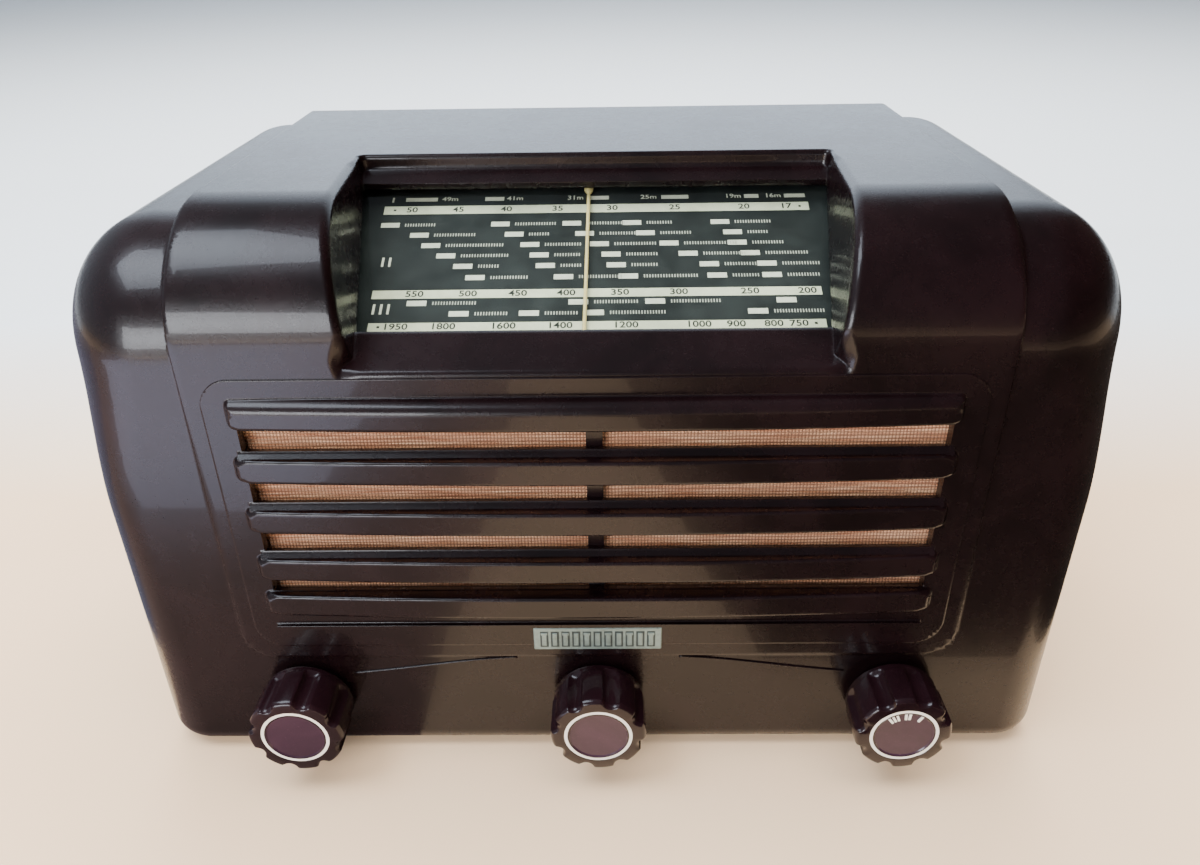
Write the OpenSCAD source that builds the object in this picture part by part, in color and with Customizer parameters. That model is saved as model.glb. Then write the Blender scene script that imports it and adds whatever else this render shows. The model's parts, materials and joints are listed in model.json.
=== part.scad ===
// Bakelite table radio: moulded cabinet with a sloping dial and five louvre bars,
// a speaker on a baffle, and a receiver chassis with a cord-driven tuning capacitor.
// X runs to the right, Y to the back, Z up. The origin is at the middle of the footprint.

/* [Cabinet] */
// Overall width
cab_w = 290; // [280:1:300]
// Overall height, feet included
cab_h = 176.4; // [175:0.1:178]
// Depth of the moulded shell
cab_d = 155; // [154:0.5:158]
// Wall thickness of the moulding
wall = 3.2; // [2.8:0.1:3.4]
// Backward lean of the front face, degrees
face_lean = 1.5; // [1:0.1:2]
// Height of the feet
foot_h = 1.5; // [1:0.1:2]
// Half-width of the raised centre block
block_half = 111; // [108:1:114]
// How far the centre block stands above the shoulders
block_step = 5.1; // [4:0.1:6]
// How far the centre block stands in front of the face
block_proud = 1.2; // [0.8:0.1:1.4]

/* [Louvres] */
// Number of louvre bars
bar_count = 5; // [4:1:5]
// Half-length of a bar
bar_half = 98.8; // [97.5:0.1:100]
// Distance from bar to bar
bar_pitch = 16.5; // [16:0.1:16.6]
// Height of one bar
bar_h = 7.5; // [7:0.1:8]
// Height of the lowest bar's bottom edge
bar_first = 59.6; // [59:0.1:60]
// Height of the next bar's bottom edge
bar_second = 72.5; // [72:0.1:73]
// Rise of the sloping sill behind a bar
sill_rise = 1.5; // [1:0.1:2]
// How far the middle of a bar stands out of the block
bar_reach = 5.4; // [4:0.1:6]

/* [Dial] */
// Slope of the dial from the horizontal, degrees
dial_slope = 25; // [24:0.5:26]
// Height of the recess's front lip
lip_z = 137.7; // [137:0.1:138.5]
// Depth of the lip behind the face's foot
lip_d = 3.6; // [3:0.1:4]
// Half of the pointer's whole travel
travel_half = 64; // [58:1:66]
// Pointer's stored place left of the middle
pointer_off = 2; // [0:0.5:10]

/* [Controls] */
// Height of the control shafts
knob_z = 24.8; // [24.5:0.1:25.5]
// Distance of the outer shafts from the middle
knob_x = 92; // [88:1:96]
// Radius of a knob over its lobes
knob_r = 14.5; // [13:0.5:15]
// Length of a knob
knob_len = 15.9; // [14:0.1:17]
// Number of flutes round a knob
flutes = 8; // [6:1:12]
// Radius of a control shaft
shaft_r = 3; // [2.9:0.05:3.1]

/* [Tuning drive] */
// Radius at which the cord runs on the spindle
spindle_pitch = 4; // [3.9:0.1:4.2]
// Radius at which the cord runs on an idler pulley
idler_pitch = 6; // [5.5:0.5:6.5]
// Radius of the drive cord
cord_r = 0.5; // [0.3:0.05:0.5]
// Number of rotor plates in each gang
rotor_plates = 5; // [3:1:6]

/* [Hidden] */
$fn = 96;
arc_step = 9;
bow_r = 1900;
knob_gap = 2.4;
shaft_clear = 0.05;
lean_shift = tan(face_lean);
knob_back = knob_z * lean_shift - knob_gap;
knob_front = knob_back - knob_len;
face_y = -(cab_d + knob_front) / 2;
shoulder_z = cab_h - block_step;
half_w = cab_w / 2;
drum_pitch = 2 * travel_half / PI;
drum_x = -85;
drum_z = 82;
drive_d = 83;
idler_x = 88;
idler_z = 163;
rail_z = 166;
chassis_top = 38;
chassis_half = 128;
chassis_front = 12;
chassis_rear = 140;
sheet = 1.5;
speaker_z = 85;
control_r = 11.3;
valve_d = 118;
valve_x = [-30, 12, 54, 98];
cover_d = 150;
chassis_screws_at = [for (x = [-118, 118], d = [34, 122]) [x, d]];
cover_screws_at = [[-134, 12], [134, 12], [-128, 150], [128, 150]];

// ---- places and frames ----

// Y of a point that lies d behind the foot of the front face.
function at(d) = face_y + d;

// Frame on the leaning face: Y goes into the cabinet and Z runs up the face.
module on_face() translate([0, face_y, 0]) rotate([-face_lean, 0, 0]) children();

// Frame on the dial recess floor: Y runs up the slope and Z leaves the floor.
module on_dial() translate([0, at(lip_d), lip_z]) rotate([dial_slope, 0, 0]) children();

// A cylinder along Y from depth d0 to depth d1.
module rod_y(x, z, d0, d1, r) {
  translate([x, at(d0), z]) rotate([-90, 0, 0]) cylinder(r = r, h = d1 - d0);
}

// A cylinder along Y in the face frame.
module face_rod(x, z, y0, y1, r) {
  translate([x, y0, z]) rotate([-90, 0, 0]) cylinder(r = r, h = y1 - y0);
}

// A block from low corner to high corner, with depths in place of Y.
module slab(x, d, z) {
  translate([x[0], at(d[0]), z[0]]) cube([x[1] - x[0], d[1] - d[0], z[1] - z[0]]);
}

// ---- rounded convex outlines ----

function unit(v) = v / norm(v);
function toward(p, q) = unit(q - p);

// Half of the angle at corner i of a closed outline.
function half_angle(pts, i) =
  let (n = len(pts))
  acos(toward(pts[i], pts[(i + n - 1) % n]) * toward(pts[i], pts[(i + 1) % n])) / 2;

function corner_centre(pts, radii, i) =
  let (n = len(pts))
  let (a = toward(pts[i], pts[(i + n - 1) % n]))
  let (b = toward(pts[i], pts[(i + 1) % n]))
  pts[i] + unit(a + b) * radii[i] / sin(half_angle(pts, i));

// Points round corner i of an anticlockwise outline, a step every arc_step degrees.
function corner_arc(pts, radii, i) =
  let (n = len(pts))
  let (half = half_angle(pts, i))
  let (centre = corner_centre(pts, radii, i))
  let (start = pts[i] + toward(pts[i], pts[(i + n - 1) % n]) * radii[i] / tan(half) - centre)
  let (from = atan2(start[1], start[0]))
  let (steps = ceil((180 - 2 * half) / arc_step))
  [for (k = [0 : steps]) centre + radii[i] * [cos(from + (180 - 2 * half) * k / steps),
                                              sin(from + (180 - 2 * half) * k / steps)]];

// A convex outline with rounded corners, drawn anticlockwise.
module rounded(pts, radii) {
  polygon([for (i = [0 : len(pts) - 1], p = corner_arc(pts, radii, i)) p]);
}

module round_rect(x0, x1, y0, y1, r) {
  rounded([[x0, y0], [x1, y0], [x1, y1], [x0, y1]], [r, r, r, r]);
}

// ---- cabinet ----

// Side outline (depth, height), drawn with its front face `out` in front of the face plane.
module side_outline(top, out, inset, rear) {
  z0 = foot_h + inset;
  z1 = top - inset;
  d0 = inset / cos(face_lean) - out;
  rounded([[d0 + z0 * lean_shift, z0], [rear, z0], [rear, z1], [d0 + z1 * lean_shift, z1]],
          [9 - inset, 1, rear > cab_d ? 1 : 6, 33 - inset]);
}

module shell_outline(half, bottom, top, low_r, high_r, inset) {
  rounded([[-half + inset, bottom + inset], [half - inset, bottom + inset],
           [half - inset, top - inset], [-half + inset, top - inset]],
          [low_r, low_r, high_r, high_r]);
}

// A block with the side outline in Y and Z and the front outline in X and Z.
module crossed(half) {
  intersection() {
    translate([-half, face_y, 0]) rotate([90, 0, 90]) linear_extrude(2 * half) children(0);
    translate([0, cab_d, 0]) rotate([90, 0, 0]) linear_extrude(2 * cab_d) children(1);
  }
}

// The plan outline of the shell, which rounds its upright corners.
module plan_block(inset, rear) {
  r = 20 - inset;
  linear_extrude(2 * cab_h)
    rounded([[-half_w + inset, at(inset - 2 * block_proud)], [half_w - inset, at(inset - 2 * block_proud)],
             [half_w - inset, at(rear)], [-half_w + inset, at(rear)]],
            [r, r, inset > 0 ? 1 : 8, inset > 0 ? 1 : 8]);
}

module shoulder_body(inset, rear) {
  intersection() {
    crossed(half_w) {
      side_outline(shoulder_z, 0, inset, rear);
      shell_outline(half_w, foot_h, shoulder_z, 5, 20 - inset, inset);
    }
    plan_block(inset, rear);
  }
}

module centre_block(inset, rear) {
  crossed(block_half) {
    side_outline(cab_h, block_proud, inset, rear);
    shell_outline(block_half, 40.5, cab_h, 10 - inset, 3, inset);
  }
}

// Plan outline of the dial recess, widened by `grow` for the walls round it.
module recess_plan(grow) {
  front = 66 + grow;
  back = 74.7 + grow;
  rounded([[-front, at(-5)], [front, at(-5)], [back, at(77 + grow)], [-back, at(77 + grow)]], [1, 1, 4, 4]);
}

// Everything above a plane parallel to the recess floor.
module above_dial(height) on_dial() translate([-150, -60, height]) cube([300, 260, 100]);

// Walls and floor of the recess, cut to the outside of the moulding.
module recess_walls() {
  intersection() {
    union() {
      shoulder_body(0, cab_d);
      centre_block(0, cab_d);
    }
    union() {
      intersection() {
        translate([0, 0, 100]) linear_extrude(100) recess_plan(3);
        above_dial(-2.5);
      }
      on_dial() translate([-88, 2, -2.5]) cube([176, 78, 2.5]);
    }
  }
}

module recess_cut() {
  intersection() {
    translate([0, 0, 100]) linear_extrude(100) recess_plan(0);
    above_dial(0);
  }
  on_dial() translate([0, 0, -4]) linear_extrude(8)
    rounded([[-64.3, 13.5], [64.3, 13.5], [71.5, 74.2], [-71.5, 74.2]], [1, 1, 1, 1]);
}

// Height of the bottom edge of bar i, counted from the lowest.
function bar_z(i) = i == 0 ? bar_first : bar_second + (i - 1) * bar_pitch;

// Front of a bar in plan: a shallow bow with quarter-round ends.
function bar_front(x) = -block_proud - bar_reach + x * x / (2 * bow_r);

module bar_outline() {
  end_r = 3.4;
  reach = bar_half - end_r;
  polygon(concat(
    [[-bar_half, 1]],
    [for (a = [90 : -15 : 15]) [-reach - end_r * sin(a), bar_front(reach) + end_r * (1 - cos(a))]],
    [for (k = [-6 : 6]) [k * reach / 6, bar_front(k * reach / 6)]],
    [for (a = [15 : 15 : 90]) [reach + end_r * sin(a), bar_front(reach) + end_r * (1 - cos(a))]],
    [[bar_half, 1]]));
}

module louvre_bars() {
  on_face() for (i = [0 : bar_count - 1])
    translate([0, 0, bar_z(i)]) linear_extrude(bar_h) bar_outline();
}

// Each slot opens from the sill behind one bar up to the bottom of the next.
module louvre_slots() {
  slot_end = 96;
  rib_half = 2.3;
  on_face() for (i = [0 : bar_count - 2], side = [-1, 1]) {
    sill = bar_z(i) + bar_h + (i > 0 ? sill_rise : 0);
    translate([side > 0 ? rib_half : -slot_end, -6, sill])
      cube([slot_end - rib_half, 14, bar_z(i + 1) - sill]);
  }
}

// Strips beside the glass that the clips are screwed to.
module clip_pads() {
  on_dial() for (side = [-1, 1], s = [24, 66])
    translate([side * 83, s, -5]) translate([-4, -7, 0]) cube([8, 14, 3]);
}

module cabinet() color("#2a1a16") difference() {
  union() {
    difference() {
      union() {
        shoulder_body(0, cab_d);
        centre_block(0, cab_d);
      }
      shoulder_body(wall, cab_d + 5);
      centre_block(wall, cab_d + 5);
    }
    recess_walls();
    clip_pads();
    louvre_bars();
    for (p = chassis_screws_at) translate([p[0], at(p[1]), foot_h + 1]) cylinder(r = 6, h = 7.95 - foot_h);
    for (p = cover_screws_at) rod_y(p[0], p[1], 128, cover_d - 0.05, 4.5);
    for (p = cover_screws_at) slab([p[0] > 0 ? p[0] : -half_w + 2, p[0] > 0 ? half_w - 2 : p[0]],
                                   [128, cover_d - 0.05], [p[1] - 2, p[1] + 2]);
  }
  recess_cut();
  louvre_slots();
  for (x = [-knob_x, 0, knob_x]) rod_y(x, knob_z, -5, 12, 5.5);
  for (p = chassis_screws_at) {
    translate([p[0], at(p[1]), -1]) cylinder(r = 2.2, h = 12);
    translate([p[0], at(p[1]), -1]) cylinder(r = 5, h = 1 + foot_h + 1.6);
  }
  for (p = cover_screws_at) rod_y(p[0], p[1], 138, cover_d + 1, 1.5);
  on_dial() for (side = [-1, 1], s = [24, 66]) translate([side * 83, s, -6]) cylinder(r = 1, h = 5);
}

module badge() color("#9fb4b4") on_face() {
  difference() {
    translate([0, -block_proud - 0.05, 0]) rotate([90, 0, 0]) linear_extrude(1.2)
      round_rect(-19.5, 19.5, 44.5, 52.8, 0.6);
    for (k = [-5 : 5]) translate([k * 3.2 - 0.7, -4, 46.3]) cube([1.4, 2.1, 4.7]);
  }
}

// ---- dial ----

module dial_glass() color("#b8c8c4", 0.4) on_dial()
  translate([0, 0, -4.6]) linear_extrude(2) round_rect(-78, 78, 7, 82, 2);

module dial_scale() color("#2f3836") on_dial()
  translate([0, 0, -8.4]) linear_extrude(1) round_rect(-78, 78, 10, 80, 1);

module glass_clips() color("#a8a08c") on_dial() for (side = [-1, 1], s = [24, 66]) difference() {
  translate([side * 81 - 6, s - 5, -6.1]) cube([12, 10, 1]);
  translate([side * 83, s, -7]) cylinder(r = 1.3, h = 3);
}

module clip_screws() color("#b8b090") on_dial() for (side = [-1, 1], s = [24, 66])
  translate([side * 83, s, 0]) {
    translate([0, 0, -5.9]) cylinder(r = 0.95, h = 4);
    translate([0, 0, -7.4]) cylinder(r = 2.2, h = 1.25);
    translate([0, 0, -6.3]) cylinder(r = 0.95, h = 0.6);
  }

// Sheet-metal frame that carries the scale, the rail, the pulleys and the lamps.
module dial_bracket() color("#8d8f8a") {
  difference() {
    union() {
      slab([-109, 109], [86, 87.5], [138, 166.5]);
      slab([-79, 79], [78.7, 87], [161.6, 163]);
      for (side = [-1, 1]) slab([side * 78.75 - 0.75, side * 78.75 + 0.75], [80.5, 86.5], [162.5, 168]);
      for (side = [-1, 1]) slab([side * 104 - 5, side * 104 + 5], [86, 87.5], [chassis_top, 139]);
      for (side = [-1, 1]) slab([side * 104 - 5, side * 104 + 5], [86, 91], [chassis_top + 0.05, chassis_top + 1.5]);
      on_dial() translate([-78, 58, -9.4]) cube([156, 22, 0.9]);
      on_dial() for (side = [-1, 1]) translate([side * 74 - 4, 10, -9.4]) cube([8, 50, 0.9]);
      for (side = [-1, 1]) rod_y(side * idler_x, idler_z, 80.6, 87, 1.5);
      for (side = [-1, 1]) rod_y(side * idler_x, idler_z, 79.8, 80.6, 2.6);
    }
    for (side = [-1, 1]) translate([side * 78.75 - 2, at(drive_d), rail_z]) rotate([0, 90, 0]) cylinder(r = 1.55, h = 4);
    for (side = [-1, 1]) rod_y(side * 50, 146, 84, 90, 4.2);
  }
}

module pointer_rail() color("#b9bab6")
  translate([-81, at(drive_d), rail_z]) rotate([0, 90, 0]) cylinder(r = 1.5, h = 162);

module pointer() color("#e9dcb8") translate([-pointer_off, 0, 0]) {
  on_dial() translate([-0.6, 17.3, -6.3]) cube([1.2, 62.5, 0.8]);
  on_dial() translate([0, 76.4, -6.3]) cylinder(r = 1.7, h = 0.9);
  slab([-1, 1], [77.2, 81.3], [165.3, 166.4]);
  difference() {
    slab([-5, 5], [81, 85], [164, 168]);
    translate([-6, at(drive_d), rail_z]) rotate([0, 90, 0]) cylinder(r = 1.56, h = 12);
  }
}

// The drive cord is one closed loop round the drum, the spindle and the two idlers,
// each given as [centre, cord radius] in anticlockwise order.
cord_rounds = [[[drum_x, drum_z], drum_pitch], [[0, knob_z], spindle_pitch],
               [[idler_x, idler_z], idler_pitch], [[-idler_x, idler_z], idler_pitch]];

// Direction from a round's centre to where the cord leaves it for the next round.
function leaving(i) =
  let (a = cord_rounds[i])
  let (b = cord_rounds[(i + 1) % 4])
  let (v = b[0] - a[0])
  atan2(v[1], v[0]) - acos((a[1] - b[1]) / norm(v));

// Directions from a round's centre to the cord, from where it arrives to where it leaves.
function cord_arc(i) =
  let (from = leaving((i + 3) % 4))
  let (sweep = (leaving(i) - from + 720) % 360)
  let (steps = ceil(sweep / 15))
  [for (k = [0 : steps]) from + sweep * k / steps];

module drive_cord() color("#5a4a34") {
  sides = 8;
  path = [for (i = [0 : 3], a = cord_arc(i)) [cord_rounds[i][0] + cord_rounds[i][1] * [cos(a), sin(a)], a]];
  n = len(path);
  points = [for (p = path, k = [0 : sides - 1])
    let (b = 360 * k / sides)
    [p[0][0] + cord_r * cos(b) * cos(p[1]), at(drive_d) + cord_r * sin(b), p[0][1] + cord_r * cos(b) * sin(p[1])]];
  faces = [for (i = [0 : n - 1], k = [0 : sides - 1])
    let (j = (i + 1) % n)
    let (m = (k + 1) % sides)
    [i * sides + k, i * sides + m, j * sides + m, j * sides + k]];
  polyhedron(points, faces);
}

// A grooved pulley on a fixed pin.
module idler(x) color("#c9c3b0") difference() {
  translate([x, at(drive_d + 2), idler_z]) rotate([90, 0, 0]) rotate_extrude()
    polygon([[1.56, 0], [7, 0], [7, 0.7], [5.1, 1.4], [5.1, 2.6], [7, 3.3], [7, 4], [1.56, 4]]);
}

module idler_left() idler(-idler_x);
module idler_right() idler(idler_x);

module lamp_holders() color("#a59a7d") for (side = [-1, 1]) {
  difference() {
    union() {
      rod_y(side * 50, 146, 74, 85.9, 5.6);
      rod_y(side * 50, 146, 85, 91, 4);
    }
    rod_y(side * 50, 146, 73, 84, 4.6);
  }
}

module dial_lamps() color("#e8e0c0", 0.6) for (side = [-1, 1]) {
  rod_y(side * 50, 146, 75, 83.5, 4.4);
  translate([side * 50, at(68.5), 146]) sphere(r = 5.4);
  rod_y(side * 50, 146, 69, 75.2, 3.8);
}

// ---- tuning capacitor ----

module drive_drum() color("#b2afa6") difference() {
  translate([drum_x, at(drive_d + 2), drum_z]) rotate([90, 0, 0]) rotate_extrude()
    polygon([[3.02, -4], [7, -4], [7, 1.4], [36, 1.4], [36, 0], [drum_pitch + 1.4, 0],
             [drum_pitch + 1.4, 0.7], [drum_pitch - 0.9, 1.4], [drum_pitch - 0.9, 2.6],
             [drum_pitch + 1.4, 3.3], [drum_pitch + 1.4, 4], [36, 4], [36, 2.6], [3.02, 2.6]]);
  for (a = [30 : 60 : 330])
    rod_y(drum_x + 22 * cos(a), drum_z + 22 * sin(a), 80, 86, 7.5);
}

module capacitor_frame() color("#c3c4c0") difference() {
  union() {
    for (d = [93, 132]) slab([drum_x - 24, drum_x + 24], [d, d + 1.5], [56, 108]);
    slab([drum_x - 24, drum_x + 24], [93, 133.5], [56, 57.5]);
    for (x = [-19, 19], d = [99, 127]) translate([drum_x + x, at(d), chassis_top + 0.05]) cylinder(r = 4, h = 18.4);
    rod_y(drum_x, drum_z, 89.5, 94, 5.5);
  }
  rod_y(drum_x, drum_z, 85, 140, shaft_r + shaft_clear);
}

module capacitor_stators() color("#d0d1cd") for (gang = [96.9, 115.9]) {
  for (k = [0 : rotor_plates - 2]) translate([0, at(gang + 1.5 + 3 * k), 0]) intersection() {
    translate([drum_x, 0, drum_z]) rotate([-90, 0, 0]) difference() {
      cylinder(r = 22.6, h = 0.8);
      translate([0, 0, -1]) cylinder(r = 6.5, h = 3);
    }
    translate([drum_x - 30, -1, drum_z + 2]) cube([60, 4, 30]);
  }
  for (x = [-21.2, 21.2]) rod_y(drum_x + x, drum_z + 4.6, gang, gang + 3 * rotor_plates - 2, 1.5);
}

module capacitor_rotor() color("#dddcd4") {
  rod_y(drum_x, drum_z, 80, 136, shaft_r);
  for (gang = [96.9, 115.9], k = [0 : rotor_plates - 1]) intersection() {
    rod_y(drum_x, drum_z, gang + 3 * k, gang + 3 * k + 0.8, 20);
    translate([drum_x, at(90), drum_z - 30]) cube([30, 50, 60]);
  }
  for (gang = [96.9, 115.9]) rod_y(drum_x, drum_z, gang, gang + 3 * rotor_plates - 2.2, 4.6);
}

// ---- knobs and shafts ----

// Fluted knob with a round rim behind the flutes, a bore and a grub screw hole.
module knob(x) color("#3a1f1c") difference() {
  union() {
    rod_y(x, knob_z, knob_front, knob_back - 1.6, knob_r);
    rod_y(x, knob_z, knob_back - 1.7, knob_back, knob_r - 0.4);
  }
  for (k = [0 : flutes - 1]) {
    a = 90 - 16 - k * 360 / flutes;
    rod_y(x + (knob_r + 1.3) * cos(a), knob_z + (knob_r + 1.3) * sin(a), knob_front - 1, knob_back - 1.6, 3);
  }
  rod_y(x, knob_z, knob_back - 13.6, knob_back + 1, shaft_r + 0.02);
  translate([x, at(knob_back - 5), knob_z - 16]) cylinder(r = 1.55, h = 14);
}

module grub(x) color("#8c8c88")
  translate([x, at(knob_back - 5), knob_z - 10]) cylinder(r = 1.5, h = 10 - shaft_r - 0.05);

module control_shaft(x, rear) color("#b0b0aa") rod_y(x, knob_z, knob_back - 13.4, rear, shaft_r);

module volume_knob() knob(-knob_x);
module tuning_knob() knob(0);
module band_knob() knob(knob_x);
module volume_grub_screw() grub(-knob_x);
module tuning_grub_screw() grub(0);
module band_grub_screw() grub(knob_x);
module volume_shaft() control_shaft(-knob_x, 24);
module tuning_spindle() control_shaft(0, 92);
module band_shaft() control_shaft(knob_x, 44);

module felt_washers() color("#3b3026") for (x = [-knob_x, 0, knob_x]) difference() {
  rod_y(x, knob_z, knob_back + 0.35, 0.35, 8);
  rod_y(x, knob_z, -4, 2, 3.5);
}

// Threaded bush with its shaft bore, seated in the chassis front wall.
module bush(x, rear) difference() {
  rod_y(x, knob_z, 6.5, rear, 4.9);
  rod_y(x, knob_z, 5, rear + 1, shaft_r + shaft_clear);
}

module volume_control() color("#7c5a34") {
  bush(-knob_x, 13.7);
  difference() {
    rod_y(-knob_x, knob_z, 13.6, 24.5, control_r);
    rod_y(-knob_x, knob_z, 13, 26, shaft_r + shaft_clear);
  }
}

module mains_switch() color("#4a3a2c") difference() {
  rod_y(-knob_x, knob_z, 24.6, 36, 11);
  rod_y(-knob_x, knob_z, 24, 26, shaft_r + 1);
}

module tuning_bush() color("#b59a5a") {
  bush(0, 13.7);
  difference() {
    rod_y(0, knob_z, 13.6, 16, 7);
    rod_y(0, knob_z, 13, 17, shaft_r + shaft_clear);
  }
}

module bush_nuts() color("#c0bfb6") for (x = [-knob_x, 0, knob_x]) difference() {
  translate([x, at(9.4), knob_z]) rotate([-90, 0, 0]) cylinder(r = 8, h = 2.5, $fn = 6);
  rod_y(x, knob_z, 9, 12.5, 4.95);
}

module band_switch() color("#a37a48") {
  bush(knob_x, 13.7);
  difference() {
    rod_y(knob_x, knob_z, 13.6, 15.2, control_r);
    rod_y(knob_x, knob_z, 13, 16, shaft_r + shaft_clear);
  }
  for (d = [27, 39]) difference() {
    rod_y(knob_x, knob_z, d, d + 1.6, control_r);
    rod_y(knob_x, knob_z, d - 1, d + 3, 5.6);
  }
  for (side = [-1, 1]) rod_y(knob_x + side * 9, knob_z, 15, 42, 1.2);
}

module band_switch_rotor() color("#c8b48a") for (d = [26.6, 38.6]) difference() {
  rod_y(knob_x, knob_z, d, d + 2.4, 5.1);
  rod_y(knob_x, knob_z, d - 1, d + 4, shaft_r + 0.02);
}

// ---- speaker ----

module baffle_board() color("#7a5a3c") on_face() difference() {
  translate([-101, 4.3, 43]) cube([202, 4, 88]);
  face_rod(0, speaker_z, 3, 10, 37);
  for (x = [-1, 1], z = [-1, 1]) face_rod(x * 30.8, speaker_z + z * 30.8, 3, 10, 1.6);
}

module grille_cloth() color("#a8743c") on_face() translate([-99, 3.5, 44]) cube([198, 0.7, 86]);

module speaker_basket() color("#4d4f4e") on_face() difference() {
  translate([0, 0, speaker_z]) rotate([-90, 0, 0]) rotate_extrude()
    polygon([[38, 8.4], [46, 8.4], [46, 9.9], [39.5, 9.9], [25.2, 33], [25.2, 35.6],
             [12, 35.6], [12, 34.2], [24, 34.2], [24, 32.4], [38, 9.6]]);
  for (a = [45 : 90 : 315]) translate([0, 0, speaker_z]) rotate([0, a, 0]) translate([-10, 13, 10]) cube([20, 17, 40]);
  for (x = [-1, 1], z = [-1, 1]) face_rod(x * 30.8, speaker_z + z * 30.8, 7, 12, 1.6);
}

module speaker_magnet() color("#6d6f70") on_face()
  translate([0, 0, speaker_z]) rotate([-90, 0, 0]) rotate_extrude()
    polygon([[0, 36], [9.2, 36], [9.2, 54], [16, 54], [16, 40], [11.8, 40], [11.8, 35.7],
             [26, 35.7], [26, 40], [24, 40], [24, 54], [26, 54], [26, 59], [0, 59]]);

module speaker_cone() color("#3a342c") on_face()
  translate([0, 0, speaker_z]) rotate([-90, 0, 0]) rotate_extrude()
    polygon([[0, 26], [7, 27.5], [9.9, 29.2], [34.5, 11.2], [34.5, 12.2], [10.9, 30.4],
             [10.9, 43], [9.9, 43], [9.9, 30.4], [7, 28.5], [0, 27]]);

module speaker_screws() color("#a8a69c") on_face() for (x = [-1, 1], z = [-1, 1]) {
  face_rod(x * 30.8, speaker_z + z * 30.8, 5, 10.2, 1.5);
  face_rod(x * 30.8, speaker_z + z * 30.8, 9.95, 11.8, 2.8);
}

module output_transformer() color("#55524c") difference() {
  slab([58, 100], [32, 56], [chassis_top + 0.05, 76]);
  slab([66, 92], [30, 58], [48, 68]);
}

module transformer_winding() color("#b08a4a") slab([67, 91], [28, 60], [48.3, 67.7]);

// ---- chassis ----

module chassis() color("#a9aba5") difference() {
  union() {
    slab([-chassis_half, chassis_half], [chassis_front, chassis_rear], [chassis_top - sheet, chassis_top]);
    slab([-chassis_half, chassis_half], [chassis_front, chassis_front + sheet], [9, chassis_top]);
    slab([-chassis_half, chassis_half], [chassis_rear - sheet, chassis_rear], [9, chassis_top]);
    for (x = [-chassis_half, chassis_half - sheet])
      slab([x, x + sheet], [chassis_front, chassis_rear], [9, chassis_top]);
    for (p = chassis_screws_at)
      slab([p[0] > 0 ? 108 : -chassis_half, p[0] > 0 ? chassis_half : -108], [p[1] - 10, p[1] + 10], [9, 9 + sheet]);
    slab([-12, 12], [88, 88 + sheet], [12, chassis_top - 0.5]);
  }
  for (x = [-knob_x, 0, knob_x]) rod_y(x, knob_z, 10, 15, 5);
  rod_y(0, knob_z, 86, 91, shaft_r + shaft_clear);
  for (x = valve_x) translate([x, at(valve_d), 30]) cylinder(r = 12.3, h = 12);
  slab([-82, -60], [81.5, 85.5], [34, 40]);
  slab([4, 20], [81.5, 85.5], [34, 40]);
  for (p = chassis_screws_at) translate([p[0], at(p[1]), 8]) cylinder(r = 2.2, h = 4);
}

module chassis_screws() color("#b7b4a6") for (p = chassis_screws_at) translate([p[0], at(p[1]), 0]) {
  translate([0, 0, 0.7]) cylinder(r = 4.2, h = 2.3);
  translate([0, 0, 2.9]) cylinder(r = 2, h = 11);
}

module valve_sockets() color("#5c3a26") for (x = valve_x) difference() {
  union() {
    translate([x, at(valve_d), 31]) cylinder(r = 12, h = 12);
    translate([x, at(valve_d), chassis_top + 0.05]) cylinder(r = 15, h = 3);
  }
  for (k = [0 : 7]) translate([x + 7.5 * cos(k * 45), at(valve_d) + 7.5 * sin(k * 45), 34]) cylinder(r = 0.9, h = 10);
}

// Glass envelope on a metal base, with pins, a gap all round and the electrode stack inside.
module valve(x, top) {
  color("#9aa0a0") translate([x, at(valve_d), 0]) difference() {
    translate([0, 0, 43.1]) cylinder(r = 14.4, h = 9);
    translate([0, 0, 46]) cylinder(r = 13, h = 9);
  }
  color("#9aa0a0") for (k = [0 : 7])
    translate([x + 7.5 * cos(k * 45), at(valve_d) + 7.5 * sin(k * 45), 35]) cylinder(r = 0.6, h = 9);
  color("#c8d4d4", 0.4) translate([x, at(valve_d), 0]) rotate_extrude()
    polygon([for (p = concat([[0, 46.2], [12.6, 46.2], [14.6, 52.5], [14.6, top - 10]],
                             [for (a = [0 : 15 : 90]) [14.6 * cos(a), top - 10 + 10 * sin(a)]],
                             [for (a = [90 : -15 : 0]) [13.6 * cos(a), top - 10 + 9 * sin(a)]],
                             [[13.6, 53], [12, 47.4], [0, 47.4]])) p]);
  color("#6a6a68") translate([x, at(valve_d), 0]) {
    translate([0, 0, 52]) cylinder(r = 8, h = top - 70);
    translate([0, 0, 50]) cylinder(r = 10.5, h = 1);
    translate([0, 0, top - 18]) cylinder(r = 10.5, h = 1);
    translate([0, 0, 47.3]) cylinder(r = 3, h = 3);
  }
}

module mixer_valve() valve(valve_x[0], 104);
module if_valve() valve(valve_x[1], 104);
module output_valve() valve(valve_x[2], 112);
module rectifier_valve() valve(valve_x[3], 98);

// Square screening can with a trimmer hole in its lid.
module if_can(x, d) color("#c6c8c6") translate([x, at(d), chassis_top + 0.05]) difference() {
  linear_extrude(58) round_rect(-13, 13, -13, 13, 2.5);
  translate([0, 0, -1]) linear_extrude(58) round_rect(-12.2, 12.2, -12.2, 12.2, 1.7);
  translate([0, 0, 50]) cylinder(r = 3, h = 10);
}

module if_can_first() if_can(-108, 44);
module if_can_second() if_can(-73, 52);

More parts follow.
